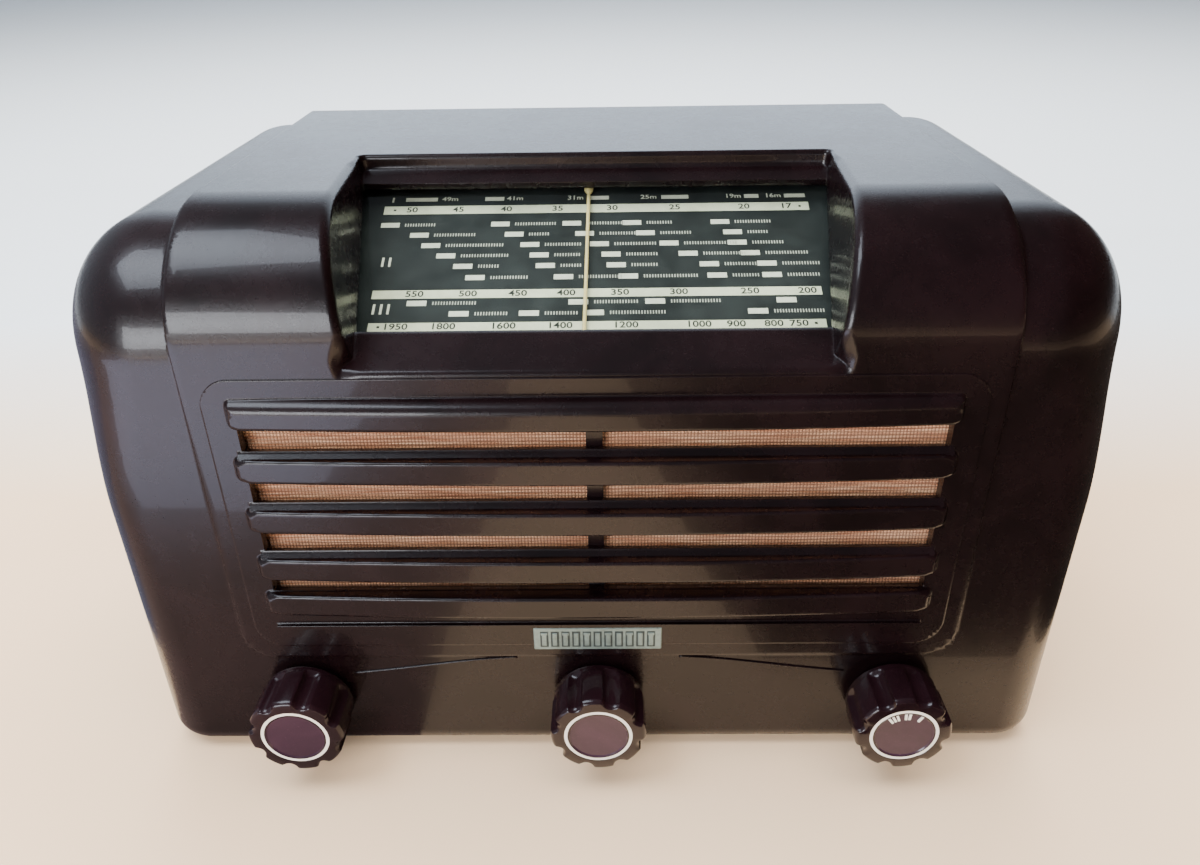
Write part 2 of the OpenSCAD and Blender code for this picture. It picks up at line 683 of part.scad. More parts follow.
module coil_pack() color("#8a6f42") {
  slab([44, 100], [60, 100], [30, 31.6]);
  for (x = [54, 72, 90], d = [70, 90]) difference() {
    translate([x, at(d), 12]) cylinder(r = 6.5, h = 18.2);
    translate([x, at(d), 11]) cylinder(r = 4.5, h = 17);
  }
}

module smoothing_capacitor() color("#b9bcbe") {
  translate([118, at(62), chassis_top + 0.05]) cylinder(r = 13, h = 68);
  translate([118, at(62), 30]) cylinder(r = 6, h = 6.4);
}

module dropper_resistor() color("#c9b48c") difference() {
  translate([124, at(114), chassis_top + 2]) cylinder(r = 9, h = 62);
  translate([124, at(114), chassis_top + 1]) cylinder(r = 6, h = 64);
}

// Resistors and paper capacitors that hang under the chassis.
module small_components() color("#96724a") {
  for (k = [0 : 4]) translate([-100 + k * 15, at(56), 24]) rotate([-90, 0, 0]) cylinder(r = 2.6, h = 13);
  for (k = [0 : 2]) translate([-104 + k * 18, at(98), 22]) rotate([-90, 0, 0]) cylinder(r = 5.5, h = 28);
  for (k = [0 : 3]) translate([20 + k * 9, at(28), 24]) rotate([-90, 0, 0]) cylinder(r = 2.6, h = 13);
}

// ---- back and bottom ----

module cover_outline(inset) {
  shell_outline(half_w, foot_h, shoulder_z, 5, 17, inset);
  shell_outline(block_half, 40.5, cab_h, 7, 3, inset);
}

module back_cover() color("#6b4c2c") difference() {
  translate([0, at(cover_d + 2.5), 0]) rotate([90, 0, 0]) linear_extrude(2.5) cover_outline(wall + 0.5);
  for (x = [-96 : 12 : 96], z = [62 : 12 : 134])
    rod_y(x, z, cover_d - 1, cover_d + 4, 3.2);
  for (p = cover_screws_at) rod_y(p[0], p[1], cover_d - 1, cover_d + 4, 1.9);
  for (x = [-66, -50, -34, -18]) rod_y(x, 30, cover_d - 1, cover_d + 4, 3.6);
  rod_y(84, 24, cover_d - 1, cover_d + 4, 5.2);
}

module back_screws() color("#b7b4a6") for (p = cover_screws_at) {
  rod_y(p[0], p[1], 140, cover_d + 2.6, 1.45);
  rod_y(p[0], p[1], cover_d + 2.55, cover_d + 4.6, 3.6);
}

module socket_strip() color("#4a2f20") difference() {
  union() {
    slab([-76, -8], [cover_d - 3.2, cover_d - 0.1], [21, 39]);
    for (x = [-66, -50, -34, -18]) rod_y(x, 30, cover_d - 8, cover_d + 3.2, 3.2);
  }
  for (x = [-66, -50, -34, -18]) rod_y(x, 30, cover_d - 7, cover_d + 5, 2);
}

module inlet_grommet() color("#1c1a18") difference() {
  union() {
    rod_y(84, 24, cover_d - 1.9, cover_d + 4.4, 5.1);
    rod_y(84, 24, cover_d - 1.9, cover_d - 0.1, 7);
    rod_y(84, 24, cover_d + 2.6, cover_d + 4.4, 7);
  }
  rod_y(84, 24, cover_d - 3, cover_d + 6, 3.5);
}

module feet() color("#1d1b1a") for (x = [-122, 122], d = [19, 138])
  translate([x, at(d), 0]) cylinder(r = 7, h = foot_h - 0.02);

cabinet();
badge();
dial_glass();
dial_scale();
glass_clips();
clip_screws();
dial_bracket();
pointer_rail();
pointer();
drive_cord();
idler_left();
idler_right();
lamp_holders();
dial_lamps();
drive_drum();
capacitor_frame();
capacitor_stators();
capacitor_rotor();
volume_knob();
tuning_knob();
band_knob();
volume_shaft();
tuning_spindle();
band_shaft();
volume_grub_screw();
tuning_grub_screw();
band_grub_screw();
felt_washers();
volume_control();
mains_switch();
bush_nuts();
tuning_bush();
band_switch();
band_switch_rotor();
baffle_board();
grille_cloth();
speaker_basket();
speaker_magnet();
speaker_cone();
speaker_screws();
output_transformer();
transformer_winding();
chassis();
chassis_screws();
valve_sockets();
mixer_valve();
if_valve();
output_valve();
rectifier_valve();
if_can_first();
if_can_second();
coil_pack();
smoothing_capacitor();
dropper_resistor();
small_components();
back_cover();
back_screws();
socket_strip();
inlet_grommet();
feet();
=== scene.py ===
import json
import math

import bpy
import numpy as np
from mathutils import Matrix, Vector


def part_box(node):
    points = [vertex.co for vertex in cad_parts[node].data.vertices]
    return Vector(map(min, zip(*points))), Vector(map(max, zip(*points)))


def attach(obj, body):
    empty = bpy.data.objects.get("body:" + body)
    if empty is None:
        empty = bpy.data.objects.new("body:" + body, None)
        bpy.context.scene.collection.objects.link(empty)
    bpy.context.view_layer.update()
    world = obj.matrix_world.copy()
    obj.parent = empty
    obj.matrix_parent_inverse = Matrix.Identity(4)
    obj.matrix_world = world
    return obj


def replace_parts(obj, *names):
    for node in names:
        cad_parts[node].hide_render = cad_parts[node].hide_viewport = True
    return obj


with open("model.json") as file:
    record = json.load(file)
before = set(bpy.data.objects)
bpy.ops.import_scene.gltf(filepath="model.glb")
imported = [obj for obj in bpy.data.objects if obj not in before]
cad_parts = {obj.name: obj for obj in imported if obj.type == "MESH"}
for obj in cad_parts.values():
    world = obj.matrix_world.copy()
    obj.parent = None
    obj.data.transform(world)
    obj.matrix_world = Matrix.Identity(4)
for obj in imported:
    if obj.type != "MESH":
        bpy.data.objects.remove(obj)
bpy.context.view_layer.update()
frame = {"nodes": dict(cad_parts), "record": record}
NODES = frame["nodes"]

# ---- main sizes, in mm ----

MM = 0.001
CAB_D = 155.0    # depth of the moulded shell
FACE_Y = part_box("cabinet")[1].y * 1000 - CAB_D    # y of the foot of the front face
LEAN = math.radians(1.5)    # backward lean of the front face
SL, CL = math.sin(LEAN), math.cos(LEAN)
SLOPE = math.radians(25)    # slope of the dial recess
SD, CD = math.sin(SLOPE), math.cos(SLOPE)
LIP_D, LIP_Z = 3.6, 137.7    # depth and height of the recess floor's front edge
KNOB_Z = (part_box("tuning_knob")[0].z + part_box("tuning_knob")[1].z) * 500
KNOB_X = (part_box("band_knob")[0].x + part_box("band_knob")[1].x) * 500

# ---- frames: every point below is in mm until it becomes a mesh ----


def from_face(x, yf, zf):
    """Face frame (into the cabinet, up the leaning face) to x, y, z."""
    return x, FACE_Y + yf * CL + zf * SL, -yf * SL + zf * CL


def from_dial(x, s, h):
    """Dial frame (up the slope, off the recess floor) to x, y, z."""
    return x, FACE_Y + LIP_D + s * CD - h * SD, LIP_Z + s * SD + h * CD


def link(obj):
    bpy.context.scene.collection.objects.link(obj)
    return obj


def mesh_piece(name, points, faces, materials, body="case", smooth=True,
               indices=None, normals=None, angle=None):
    """A mesh piece from points in mm. It rides with a body and takes the given materials."""
    mesh = bpy.data.meshes.new(name)
    mesh.from_pydata([tuple(p) for p in np.asarray(points, float) * MM], [],
                     [tuple(int(i) for i in f) for f in faces])
    for m in materials:
        mesh.materials.append(m)
    if indices is not None:
        mesh.polygons.foreach_set("material_index", np.asarray(indices, np.int32))
    mesh.polygons.foreach_set("use_smooth", np.full(len(mesh.polygons), smooth))
    mesh.validate()
    mesh.update()
    if normals is not None:
        mesh.normals_split_custom_set(normals)
    elif angle:
        mesh.set_sharp_from_angle(angle=math.radians(angle))
    obj = link(bpy.data.objects.new(name, mesh))
    if body:
        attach(obj, body)
    return obj


class Parts:
    """Collects simple shapes into one mesh."""

    def __init__(self):
        self.points, self.faces, self.index = [], [], []

    def add(self, points, faces, index=0):
        base = len(self.points)
        self.points.extend(tuple(p) for p in points)
        self.faces.extend(tuple(base + i for i in f) for f in faces)
        self.index.extend([index] * len(faces))
        return self

    def box(self, lo, hi, bevel=0.0, index=0, to=None):
        (x0, y0, z0), (x1, y1, z1) = lo, hi
        if bevel <= 0:
            pts = [(x, y, z) for x in (x0, x1) for y in (y0, y1) for z in (z0, z1)]
            faces = [(0, 1, 3, 2), (4, 6, 7, 5), (0, 4, 5, 1), (2, 3, 7, 6), (0, 2, 6, 4), (1, 5, 7, 3)]
        else:
            b = bevel
            pts, faces = [], []
            for x, sx in ((x0, 1), (x1, -1)):
                for y, sy in ((y0, 1), (y1, -1)):
                    for z, sz in ((z0, 1), (z1, -1)):
                        pts += [(x, y + sy * b, z + sz * b), (x + sx * b, y, z + sz * b),
                                (x + sx * b, y + sy * b, z)]

            def at(i, j, k, axis):
                return ((i * 2 + j) * 2 + k) * 3 + axis
            faces += [(at(0, 0, 0, 0), at(0, 0, 1, 0), at(0, 1, 1, 0), at(0, 1, 0, 0)),
                      (at(1, 0, 0, 0), at(1, 1, 0, 0), at(1, 1, 1, 0), at(1, 0, 1, 0)),
                      (at(0, 0, 0, 1), at(1, 0, 0, 1), at(1, 0, 1, 1), at(0, 0, 1, 1)),
                      (at(0, 1, 0, 1), at(0, 1, 1, 1), at(1, 1, 1, 1), at(1, 1, 0, 1)),
                      (at(0, 0, 0, 2), at(0, 1, 0, 2), at(1, 1, 0, 2), at(1, 0, 0, 2)),
                      (at(0, 0, 1, 2), at(1, 0, 1, 2), at(1, 1, 1, 2), at(0, 1, 1, 2))]
            for i in (0, 1):
                for j in (0, 1):
                    for k in (0, 1):
                        tri = (at(i, j, k, 0), at(i, j, k, 1), at(i, j, k, 2))
                        faces.append(tri if (i + j + k) % 2 == 0 else tri[::-1])
            for i in (0, 1):
                for j in (0, 1):
                    q = (at(i, j, 0, 0), at(i, j, 0, 1), at(i, j, 1, 1), at(i, j, 1, 0))
                    faces.append(q[::-1] if (i + j) % 2 == 0 else q)
                    q = (at(i, 0, j, 0), at(i, 0, j, 2), at(i, 1, j, 2), at(i, 1, j, 0))
                    faces.append(q if (i + j) % 2 == 0 else q[::-1])
                    q = (at(0, i, j, 1), at(0, i, j, 2), at(1, i, j, 2), at(1, i, j, 1))
                    faces.append(q[::-1] if (i + j) % 2 == 0 else q)
        if to:
            pts = [to(*p) for p in pts]
        return self.add(pts, faces, index)

    def lathe(self, origin, axis, profile, n=48, index=0, closed=False):
        """profile is [(along the axis, radius)]; radius 0 closes an end."""
        axis = Vector(axis).normalized()
        side = axis.orthogonal().normalized()
        up = axis.cross(side)
        pts, faces, rings = [], [], []
        for t, r in profile:
            if r <= 1e-6:
                rings.append([len(pts)])
                pts.append(tuple(Vector(origin) + axis * t))
            else:
                ring = []
                for k in range(n):
                    a = 2 * math.pi * k / n
                    ring.append(len(pts))
                    pts.append(tuple(Vector(origin) + axis * t + (side * math.cos(a) + up * math.sin(a)) * r))
                rings.append(ring)
        pairs = list(zip(rings, rings[1:]))
        if closed:
            pairs.append((rings[-1], rings[0]))
        for a, b in pairs:
            for k in range(n):
                m = (k + 1) % n
                if len(a) == 1 and len(b) == 1:
                    continue
                if len(a) == 1:
                    faces.append((a[0], b[m], b[k]))
                elif len(b) == 1:
                    faces.append((a[k], a[m], b[0]))
                else:
                    faces.append((a[k], a[m], b[m], b[k]))
        faces = [f[::-1] for f in faces]
        return self.add(pts, faces, index)

    def tube(self, path, r, n=8, index=0, closed=False, caps=True):
        """A round wire along a path."""
        path = [Vector(p) for p in path]
        count = len(path)
        pts, faces = [], []
        normal = None
        for i, p in enumerate(path):
            a = path[(i - 1) % count] if closed or i else p
            b = path[(i + 1) % count] if closed or i < count - 1 else p
            t = (b - a).normalized()
            if normal is None:
                normal = t.orthogonal().normalized()
            normal = (normal - t * normal.dot(t)).normalized()
            other = t.cross(normal)
            for k in range(n):
                ang = 2 * math.pi * k / n
                pts.append(tuple(p + (normal * math.cos(ang) + other * math.sin(ang)) * r))
        for i in range(count if closed else count - 1):
            j = (i + 1) % count
            for k in range(n):
                m = (k + 1) % n
                faces.append((i * n + k, i * n + m, j * n + m, j * n + k))
        if caps and not closed:
            faces.append(tuple(range(n))[::-1])
            faces.append(tuple((count - 1) * n + k for k in range(n)))
        return self.add(pts, faces, index)

    def piece(self, name, materials, body="case", smooth=True, angle=35):
        return mesh_piece(name, self.points, self.faces, materials, body, smooth,
                          self.index, angle=angle)


def bezier(points, steps):
    """A smooth path through points, with a number of steps from each point to the next."""
    points = [Vector(p) for p in points]
    out = []
    for i in range(len(points) - 1):
        p0 = points[max(i - 1, 0)]
        p1, p2 = points[i], points[i + 1]
        p3 = points[min(i + 2, len(points) - 1)]
        for k in range(steps):
            t = k / steps
            out.append(0.5 * ((2 * p1) + (p2 - p0) * t + (2 * p0 - 5 * p1 + 4 * p2 - p3) * t * t
                              + (3 * p1 - p0 - 3 * p2 + p3) * t ** 3))
    out.append(points[-1])
    return out


# ---- materials ----


class Shader:
    """A node material in short form."""

    def __init__(self, name):
        self.mat = bpy.data.materials.new(name)
        self.mat.use_nodes = True
        self.tree = self.mat.node_tree
        self.tree.nodes.clear()
        self.out = self.node("ShaderNodeOutputMaterial")
        self.bsdf = self.node("ShaderNodeBsdfPrincipled")
        self.join(self.bsdf.outputs[0], self.out.inputs[0])
        self.coords = self.node("ShaderNodeTexCoord").outputs["Object"]

    def node(self, kind, **values):
        n = self.tree.nodes.new(kind)
        for key, value in values.items():
            setattr(n, key, value)
        return n

    def join(self, a, b):
        self.tree.links.new(a, b)

    def set(self, socket, value):
        """A link or a constant on the shader's socket."""
        target = self.bsdf.inputs[socket]
        if isinstance(value, bpy.types.NodeSocket):
            self.join(value, target)
        else:
            target.default_value = value

    def scaled(self, scale):
        """Object coordinates stretched by a scale for each axis."""
        m = self.node("ShaderNodeMapping")
        m.inputs["Scale"].default_value = scale
        self.join(self.coords, m.inputs["Vector"])
        return m.outputs[0]

    def noise(self, scale, detail=4, rough=0.55, vector=None, distortion=0.0):
        n = self.node("ShaderNodeTexNoise")
        n.inputs["Scale"].default_value = scale
        n.inputs["Detail"].default_value = detail
        n.inputs["Roughness"].default_value = rough
        n.inputs["Distortion"].default_value = distortion
        self.join(vector or self.coords, n.inputs["Vector"])
        return n.outputs["Fac"]

    def wave(self, scale, distortion, direction):
        n = self.node("ShaderNodeTexWave", bands_direction=direction)
        n.inputs["Scale"].default_value = scale
        n.inputs["Distortion"].default_value = distortion
        self.join(self.coords, n.inputs["Vector"])
        return n.outputs["Fac"]

    def ramp(self, fac, *stops):
        """stops are (place, colour or value)."""
        n = self.node("ShaderNodeValToRGB")
        elements = n.color_ramp.elements
        while len(elements) < len(stops):
            elements.new(0.5)
        for e, (place, colour) in zip(elements, stops):
            e.position = place
            e.color = (*colour, 1) if isinstance(colour, tuple) else (colour, colour, colour, 1)
        self.join(fac, n.inputs[0])
        return n.outputs[0]

    def math(self, op, a, b=0.5):
        n = self.node("ShaderNodeMath", operation=op)
        for socket, value in zip(n.inputs, (a, b)):
            if isinstance(value, bpy.types.NodeSocket):
                self.join(value, socket)
            else:
                socket.default_value = value
        return n.outputs[0]

    def mix(self, fac, a, b):
        n = self.node("ShaderNodeMix", data_type="RGBA")
        for socket, value in ((n.inputs[0], fac), (n.inputs[6], a), (n.inputs[7], b)):
            if isinstance(value, bpy.types.NodeSocket):
                self.join(value, socket)
            else:
                socket.default_value = (*value, 1) if isinstance(value, tuple) else value
        return n.outputs[2]

    def bump(self, height, strength, distance):
        n = self.node("ShaderNodeBump")
        n.inputs["Strength"].default_value = strength
        n.inputs["Distance"].default_value = distance
        self.join(height, n.inputs["Height"])
        self.join(n.outputs[0], self.bsdf.inputs["Normal"])


def plain(name, colour, rough, metal=0.0, grain=900.0, vary=0.12, bump=0.15, streak=None):
    """Solid material with a little mottling, roughness change and grain; streak draws the grain out."""
    s = Shader(name)
    v = s.scaled(streak) if streak else None
    big = s.noise(60, 5, vector=v)
    fine = s.noise(grain, 4, vector=v)
    dark = tuple(c * (1 - vary) for c in colour)
    light = tuple(min(1, c * (1 + vary)) for c in colour)
    s.set("Base Color", s.mix(s.ramp(s.mix(0.4, big, fine), (0.35, 0.0), (0.65, 1.0)), dark, light))
    s.set("Roughness", s.ramp(fine, (0.3, max(rough - 0.07, 0.02)), (0.7, min(rough + 0.09, 1))))
    s.set("Metallic", metal)
    s.bump(fine, bump, 0.0001)
    return s.mat


def bakelite(name, base, rough, mottle=0.5, grain=0.22):
    """Dark moulded bakelite: soft mottling, fine pale specks and a finely grained gloss."""
    s = Shader(name)
    cloud = s.noise(38, 6, 0.6, distortion=0.6)
    speck = s.noise(1700, 3, 0.7)
    fine = s.noise(2400, 3, 0.6)
    wide = s.noise(330, 5, 0.6)
    tone = s.mix(s.ramp(cloud, (0.35, 0.0), (0.68, 1.0)), tuple(c * (1 - mottle * 0.6) for c in base),
                 tuple(c * (1 + mottle * 1.3) for c in base))
    tone = s.mix(s.ramp(speck, (0.62, 0.0), (0.74, 0.4)), tone, tuple(c * 5 + 0.006 for c in base))
    s.set("Base Color", tone)
    s.set("Roughness", s.ramp(s.mix(0.5, cloud, wide), (0.30, rough - 0.03), (0.70, rough + 0.05)))
    s.set("Specular IOR Level", 0.31)
    s.set("Coat Weight", 0.22)
    s.set("Coat Roughness", 0.05)
    s.bump(s.mix(0.3, fine, wide), grain, 0.0002)
    return s.mat


M = {}
M["bakelite"] = bakelite("bakelite", (0.0042, 0.0016, 0.0021), 0.26, grain=0.26)
M["knob_bakelite"] = bakelite("knob_bakelite", (0.0075, 0.0026, 0.0040), 0.20, 0.35, 0.12)
M["badge_metal"] = plain("badge_metal", (0.20, 0.27, 0.265), 0.42, 0.55, 700, 0.3, 0.4)
M["badge_dark"] = plain("badge_dark", (0.03, 0.044, 0.046), 0.5, 0.3, 700, 0.3, 0.3)
M["scale_print"] = plain("scale_print", (0.0165, 0.0205, 0.0215), 0.42, 0, 120, 0.28, 0.1)
M["pointer_cream"] = plain("pointer_cream", (0.68, 0.56, 0.26), 0.45, 0, 600, 0.1, 0.15)
M["cord_textile"] = plain("cord_textile", (0.16, 0.11, 0.06), 0.85, 0, 2500, 0.3, 0.6)
M["brass"] = plain("brass", (0.62, 0.45, 0.18), 0.33, 1, 900, 0.12, 0.15)
M["aluminium"] = plain("aluminium", (0.62, 0.63, 0.64), 0.38, 1, 900, 0.08, 0.2)
M["plated_steel"] = plain("plated_steel", (0.50, 0.50, 0.47), 0.36, 1, 500, 0.15, 0.2)
M["bright_steel"] = plain("bright_steel", (0.60, 0.60, 0.60), 0.24, 1, 900, 0.08, 0.1)
M["black_metal"] = plain("black_metal", (0.035, 0.036, 0.038), 0.45, 0.3, 800, 0.2, 0.3)
M["core_steel"] = plain("core_steel", (0.13, 0.125, 0.12), 0.5, 0.8, 1500, 0.2, 0.3, streak=(1, 1, 12))
M["winding"] = plain("winding", (0.42, 0.30, 0.13), 0.6, 0, 1200, 0.2, 0.4)
M["laminate"] = plain("laminate", (0.36, 0.21, 0.09), 0.55, 0, 900, 0.2, 0.2)
M["felt"] = plain("felt", (0.045, 0.03, 0.022), 0.95, 0, 2600, 0.3, 0.9)
M["board"] = plain("board", (0.16, 0.10, 0.055), 0.85, 0, 1400, 0.25, 0.5, streak=(1, 1, 8))
M["paper_cone"] = plain("paper_cone", (0.045, 0.038, 0.032), 0.9, 0, 1100, 0.3, 0.7)
M["ceramic"] = plain("ceramic", (0.55, 0.50, 0.40), 0.4, 0, 400, 0.1, 0.15)
M["fibreboard"] = plain("fibreboard", (0.135, 0.075, 0.036), 0.72, 0, 1600, 0.28, 0.5, streak=(1, 1, 3))
M["rubber"] = plain("rubber", (0.012, 0.012, 0.012), 0.8, 0, 1400, 0.2, 0.4)
M["white_paint"] = plain("white_paint", (0.78, 0.77, 0.72), 0.5, 0, 1500, 0.08, 0.3)
M["print_cream"] = plain("print_cream", (0.60, 0.63, 0.49), 0.5, 0, 350, 0.12, 0.1)
M["print_pale"] = plain("print_pale", (0.62, 0.64, 0.56), 0.5, 0, 500, 0.14, 0.1)
M["print_dim"] = plain("print_dim", (0.42, 0.44, 0.40), 0.5, 0, 500, 0.2, 0.1)
M["print_black"] = plain("print_black", (0.02, 0.024, 0.02), 0.5, 0, 500, 0.1, 0.1)
M["getter"] = plain("getter", (0.10, 0.10, 0.11), 0.18, 1, 300, 0.2, 0.1)
M["mica"] = plain("mica", (0.55, 0.52, 0.42), 0.3, 0, 300, 0.15, 0.1)
M["grey_paint"] = plain("grey_paint", (0.10, 0.10, 0.105), 0.4, 0.4, 600, 0.2, 0.2)


def clear(name, tint, ior):
    """Clear glass as a tinted see-through sheet with a fresnel gloss and a faint smear."""
    s = Shader(name)
    s.tree.nodes.remove(s.bsdf)
    see = s.node("ShaderNodeBsdfTransparent")
    smear = s.noise(45, 5, 0.6, distortion=0.5)
    smeared = tuple(c * 0.93 for c in tint)
    s.join(s.mix(s.ramp(smear, (0.4, 0.0), (0.7, 1.0)), tint, smeared), see.inputs["Color"])
    shine = s.node("ShaderNodeBsdfGlossy")
    s.join(s.ramp(smear, (0.35, 0.03), (0.75, 0.09)), shine.inputs["Roughness"])
    fres = s.node("ShaderNodeFresnel")
    fres.inputs["IOR"].default_value = ior
    back = s.node("ShaderNodeNewGeometry").outputs["Backfacing"]
    both = s.node("ShaderNodeMixShader")
    s.join(s.math("MULTIPLY", fres.outputs[0], s.math("SUBTRACT", 1.0, back)), both.inputs[0])
    s.join(see.outputs[0], both.inputs[1])
    s.join(shine.outputs[0], both.inputs[2])
    s.join(both.outputs[0], s.out.inputs[0])
    return s.mat


M["clear_glass"] = clear("clear_glass", (0.95, 0.97, 0.95), 1.38)
M["valve_glass"] = clear("valve_glass", (0.90, 0.92, 0.90), 1.5)
M["lamp_glass"] = clear("lamp_glass", (0.95, 0.93, 0.86), 1.5)


def woven():
    """Coarse grille cloth: a copper-brown weft with tan slubs across a darker warp."""
    s = Shader("grille_cloth")
    across = s.wave(330, 0.6, "X")
    along = s.wave(300, 0.9, "Z")
    slub = s.noise(1, 5, 0.6, s.scaled((60, 60, 1900)))
    patch = s.noise(60, 4)
    tone = s.mix(s.ramp(slub, (0.38, 0.0), (0.66, 1.0)), (0.36, 0.13, 0.055), (0.98, 0.62, 0.38))
    tone = s.mix(s.ramp(patch, (0.35, 0.0), (0.7, 0.4)), tone, (0.80, 0.34, 0.19))
    weave = s.math("MULTIPLY", across, along)
    tone = s.mix(s.ramp(weave, (0.03, 0.75), (0.30, 0.0)), tone, (0.10, 0.04, 0.02))
    s.set("Base Color", tone)
    s.set("Roughness", 0.82)
    s.set("Sheen Weight", 0.25)
    s.bump(s.math("ADD", weave, s.math("MULTIPLY", slub, 0.5)), 0.8, 0.0004)
    return s.mat


M["grille_cloth"] = woven()

SLOT_OF = {}
for row in frame["record"]["subparts"]:
    SLOT_OF[row["node"]] = row["material_slot"]
for name, obj in NODES.items():
    obj.data.materials.clear()
    obj.data.materials.append(M[SLOT_OF[name]])

# ---- cabinet: one implicit shape, meshed by dual contouring ----


def rmax(a, b, r):
    """Intersection with a round of radius r."""
    u = np.maximum(r + a, 0)
    v = np.maximum(r + b, 0)
    return np.minimum(-r, np.maximum(a, b)) + np.sqrt(u * u + v * v)


def rmin(a, b, r):
    return -rmax(-a, -b, r)


def ease(t):
    t = np.clip(t, 0, 1)
    return t * t * (3 - 2 * t)


HALF_W, WALL = 145.0, 3.2    # half the width, and the moulding's wall
BODY_TOP, BLOCK_TOP = 171.3, 176.4    # heights of the body and of its centre block
TOP_ROUND = 33.0    # round from the top into the front face
BLOCK_HALF, BLOCK_FLARE, BLOCK_FOOT = 109.4, 0.016, 40.5    # centre block: half width, widening, lower edge
BAR_HALF, BAR_H = 98.8, 7.5    # louvre bars: half length and height
BARS = [59.6, 72.5, 89.0, 105.5, 122.0]    # lower edges of the bars
SLOT_END, RIB = 96.0, 2.3    # end of the slots, and half the central rib
PANEL = (104.4, 45.7, 135.9)    # inner panel: half width, lower and upper edge
PROUD = 1.1    # how far the block and panel stand out
RECESS_BACK = 77    # depth of the recess's rear wall
WINDOW_LOW, WINDOW_MID, WINDOW_REACH = 13.5, 43.85, 30.35   # dial window up the slope: edge, middle, half
FAR = 99.0    # stands for "nowhere near" in a distance


def split_face(x, yf, zf):
    """Absolute x, depth and height of points in the face frame."""
    return np.abs(x), yf * CL + zf * SL, -yf * SL + zf * CL


def envelope(ax, yf, zf, d, z):
    """Body and raised centre block, without the open back."""
    corner = 16.0 + 10.0 * ease((z - 90) / 55)
    body = rmax(rmax(z - BODY_TOP, -yf, TOP_ROUND), ax - HALF_W, corner)
    body = rmax(body, 1.5 - z, 7.0)
    up = ease((z - 148) / 22)
    front = rmax(ax - BLOCK_HALF - BLOCK_FLARE * d, BLOCK_FOOT - zf, 10.0)
    block = rmax(rmax(z - BLOCK_TOP, -(yf + PROUD), TOP_ROUND), front, 0.9 + 2.3 * up)
    return rmin(body, block, 0.7 + 1.6 * up)


def window_half(s):
    """Half-width of the dial window at a place up the slope; its sides run on into the recess walls."""
    return 64.4 + (s - WINDOW_LOW) * 0.119


def recess(ax, d, z):
    """Plan outline of the dial recess, height above its floor and place up its slope."""
    h = -(d - LIP_D) * SD + (z - LIP_Z) * CD
    s = (d - LIP_D) * CD + (z - LIP_Z) * SD
    foot = window_half(s) + 3.2 * ease((4.5 - s) / 4.5)
    plan = rmax((ax - foot - 0.07 * h) * 0.99, d - RECESS_BACK, 2.0)
    return plan, h, s


def louvre_gap(ax, yf, zf):
    """The slots between the bars, with a steep sill behind each bar's sloping step."""
    gap = np.full(np.broadcast(ax, yf, zf).shape, FAR)
    ends = np.maximum(ax - SLOT_END, RIB - ax)
    for i in range(4):
        sill = BARS[i] + BAR_H + (1.5 if i else 0.0)
        drop = np.maximum(yf + 0.9, 0) * 1.7
        slot = np.maximum(ends, np.maximum((sill - drop) - zf, zf - BARS[i + 1]))
        rib = np.maximum(np.maximum(ax - SLOT_END, yf - 0.7), np.maximum(sill - zf, zf - BARS[i + 1]))
        gap = np.minimum(gap, np.minimum(slot, rib))
    return gap


def body_shape(x, yf, zf):
    """The hollow moulding with its recess, window, shaft holes and screw bosses, without the inner panel."""
    ax, d, z = split_face(x, yf, zf)
    skin = envelope(ax, yf, zf, d, z)
    full = rmax(skin, d - CAB_D, 1.2)
    shell = np.maximum(full, -(skin + WALL))
    plan, h, s = recess(ax, d, z)
    walls = np.maximum(plan - 3, -(h + 2.5))
    plate = np.maximum(np.maximum(ax - 88, np.abs(s - 41) - 39), np.abs(h + 1.25) - 1.25)
    shell = np.maximum(rmin(shell, np.minimum(walls, plate), 0.8), full)
    cut = rmax(plan, -h, 0.4)
    edge = 1.1 + 1.2 * ease((ax - 60) / 6) * ease((72 - d) / 8)
    shell = rmax(shell, -cut, edge)
    window = rmax(ax - window_half(s) - 0.05, np.abs(s - WINDOW_MID) - WINDOW_REACH, 0.6)
    window = np.maximum(window, np.abs(h) - 5)
    shell = rmax(shell, -window, 0.35)
    hatch = np.maximum(np.maximum(ax - 100, np.abs(zf - 96.5) - 37), yf - 6)
    shell = np.maximum(shell, -hatch)
    for cx in (0.0, KNOB_X):
        hole = np.sqrt((ax - cx) ** 2 + (z - KNOB_Z) ** 2) - 5.5
        shell = rmax(shell, -np.maximum(hole, d - 12), 0.5)
    for cx, cz in ((134, 12), (128, 150)):
        boss = np.sqrt((ax - cx) ** 2 + (z - cz) ** 2) - 4.5
        web = np.maximum(np.abs(z - cz) - 2, cx - ax)
        boss = np.maximum(np.minimum(boss, web), np.abs(d - 138.95) - 11)
        shell = np.maximum(rmin(shell, boss, 0.8), full)
    for cd in (34, 122):
        far = np.sqrt((ax - 118) ** 2 + (d - cd) ** 2)
        boss = np.maximum(far - 6, np.abs(z - 6) - 4.45)
        shell = np.maximum(rmin(shell, boss, 0.8), full)
        shell = np.maximum(shell, -np.maximum(far - 5, z - 3.1))
    return shell


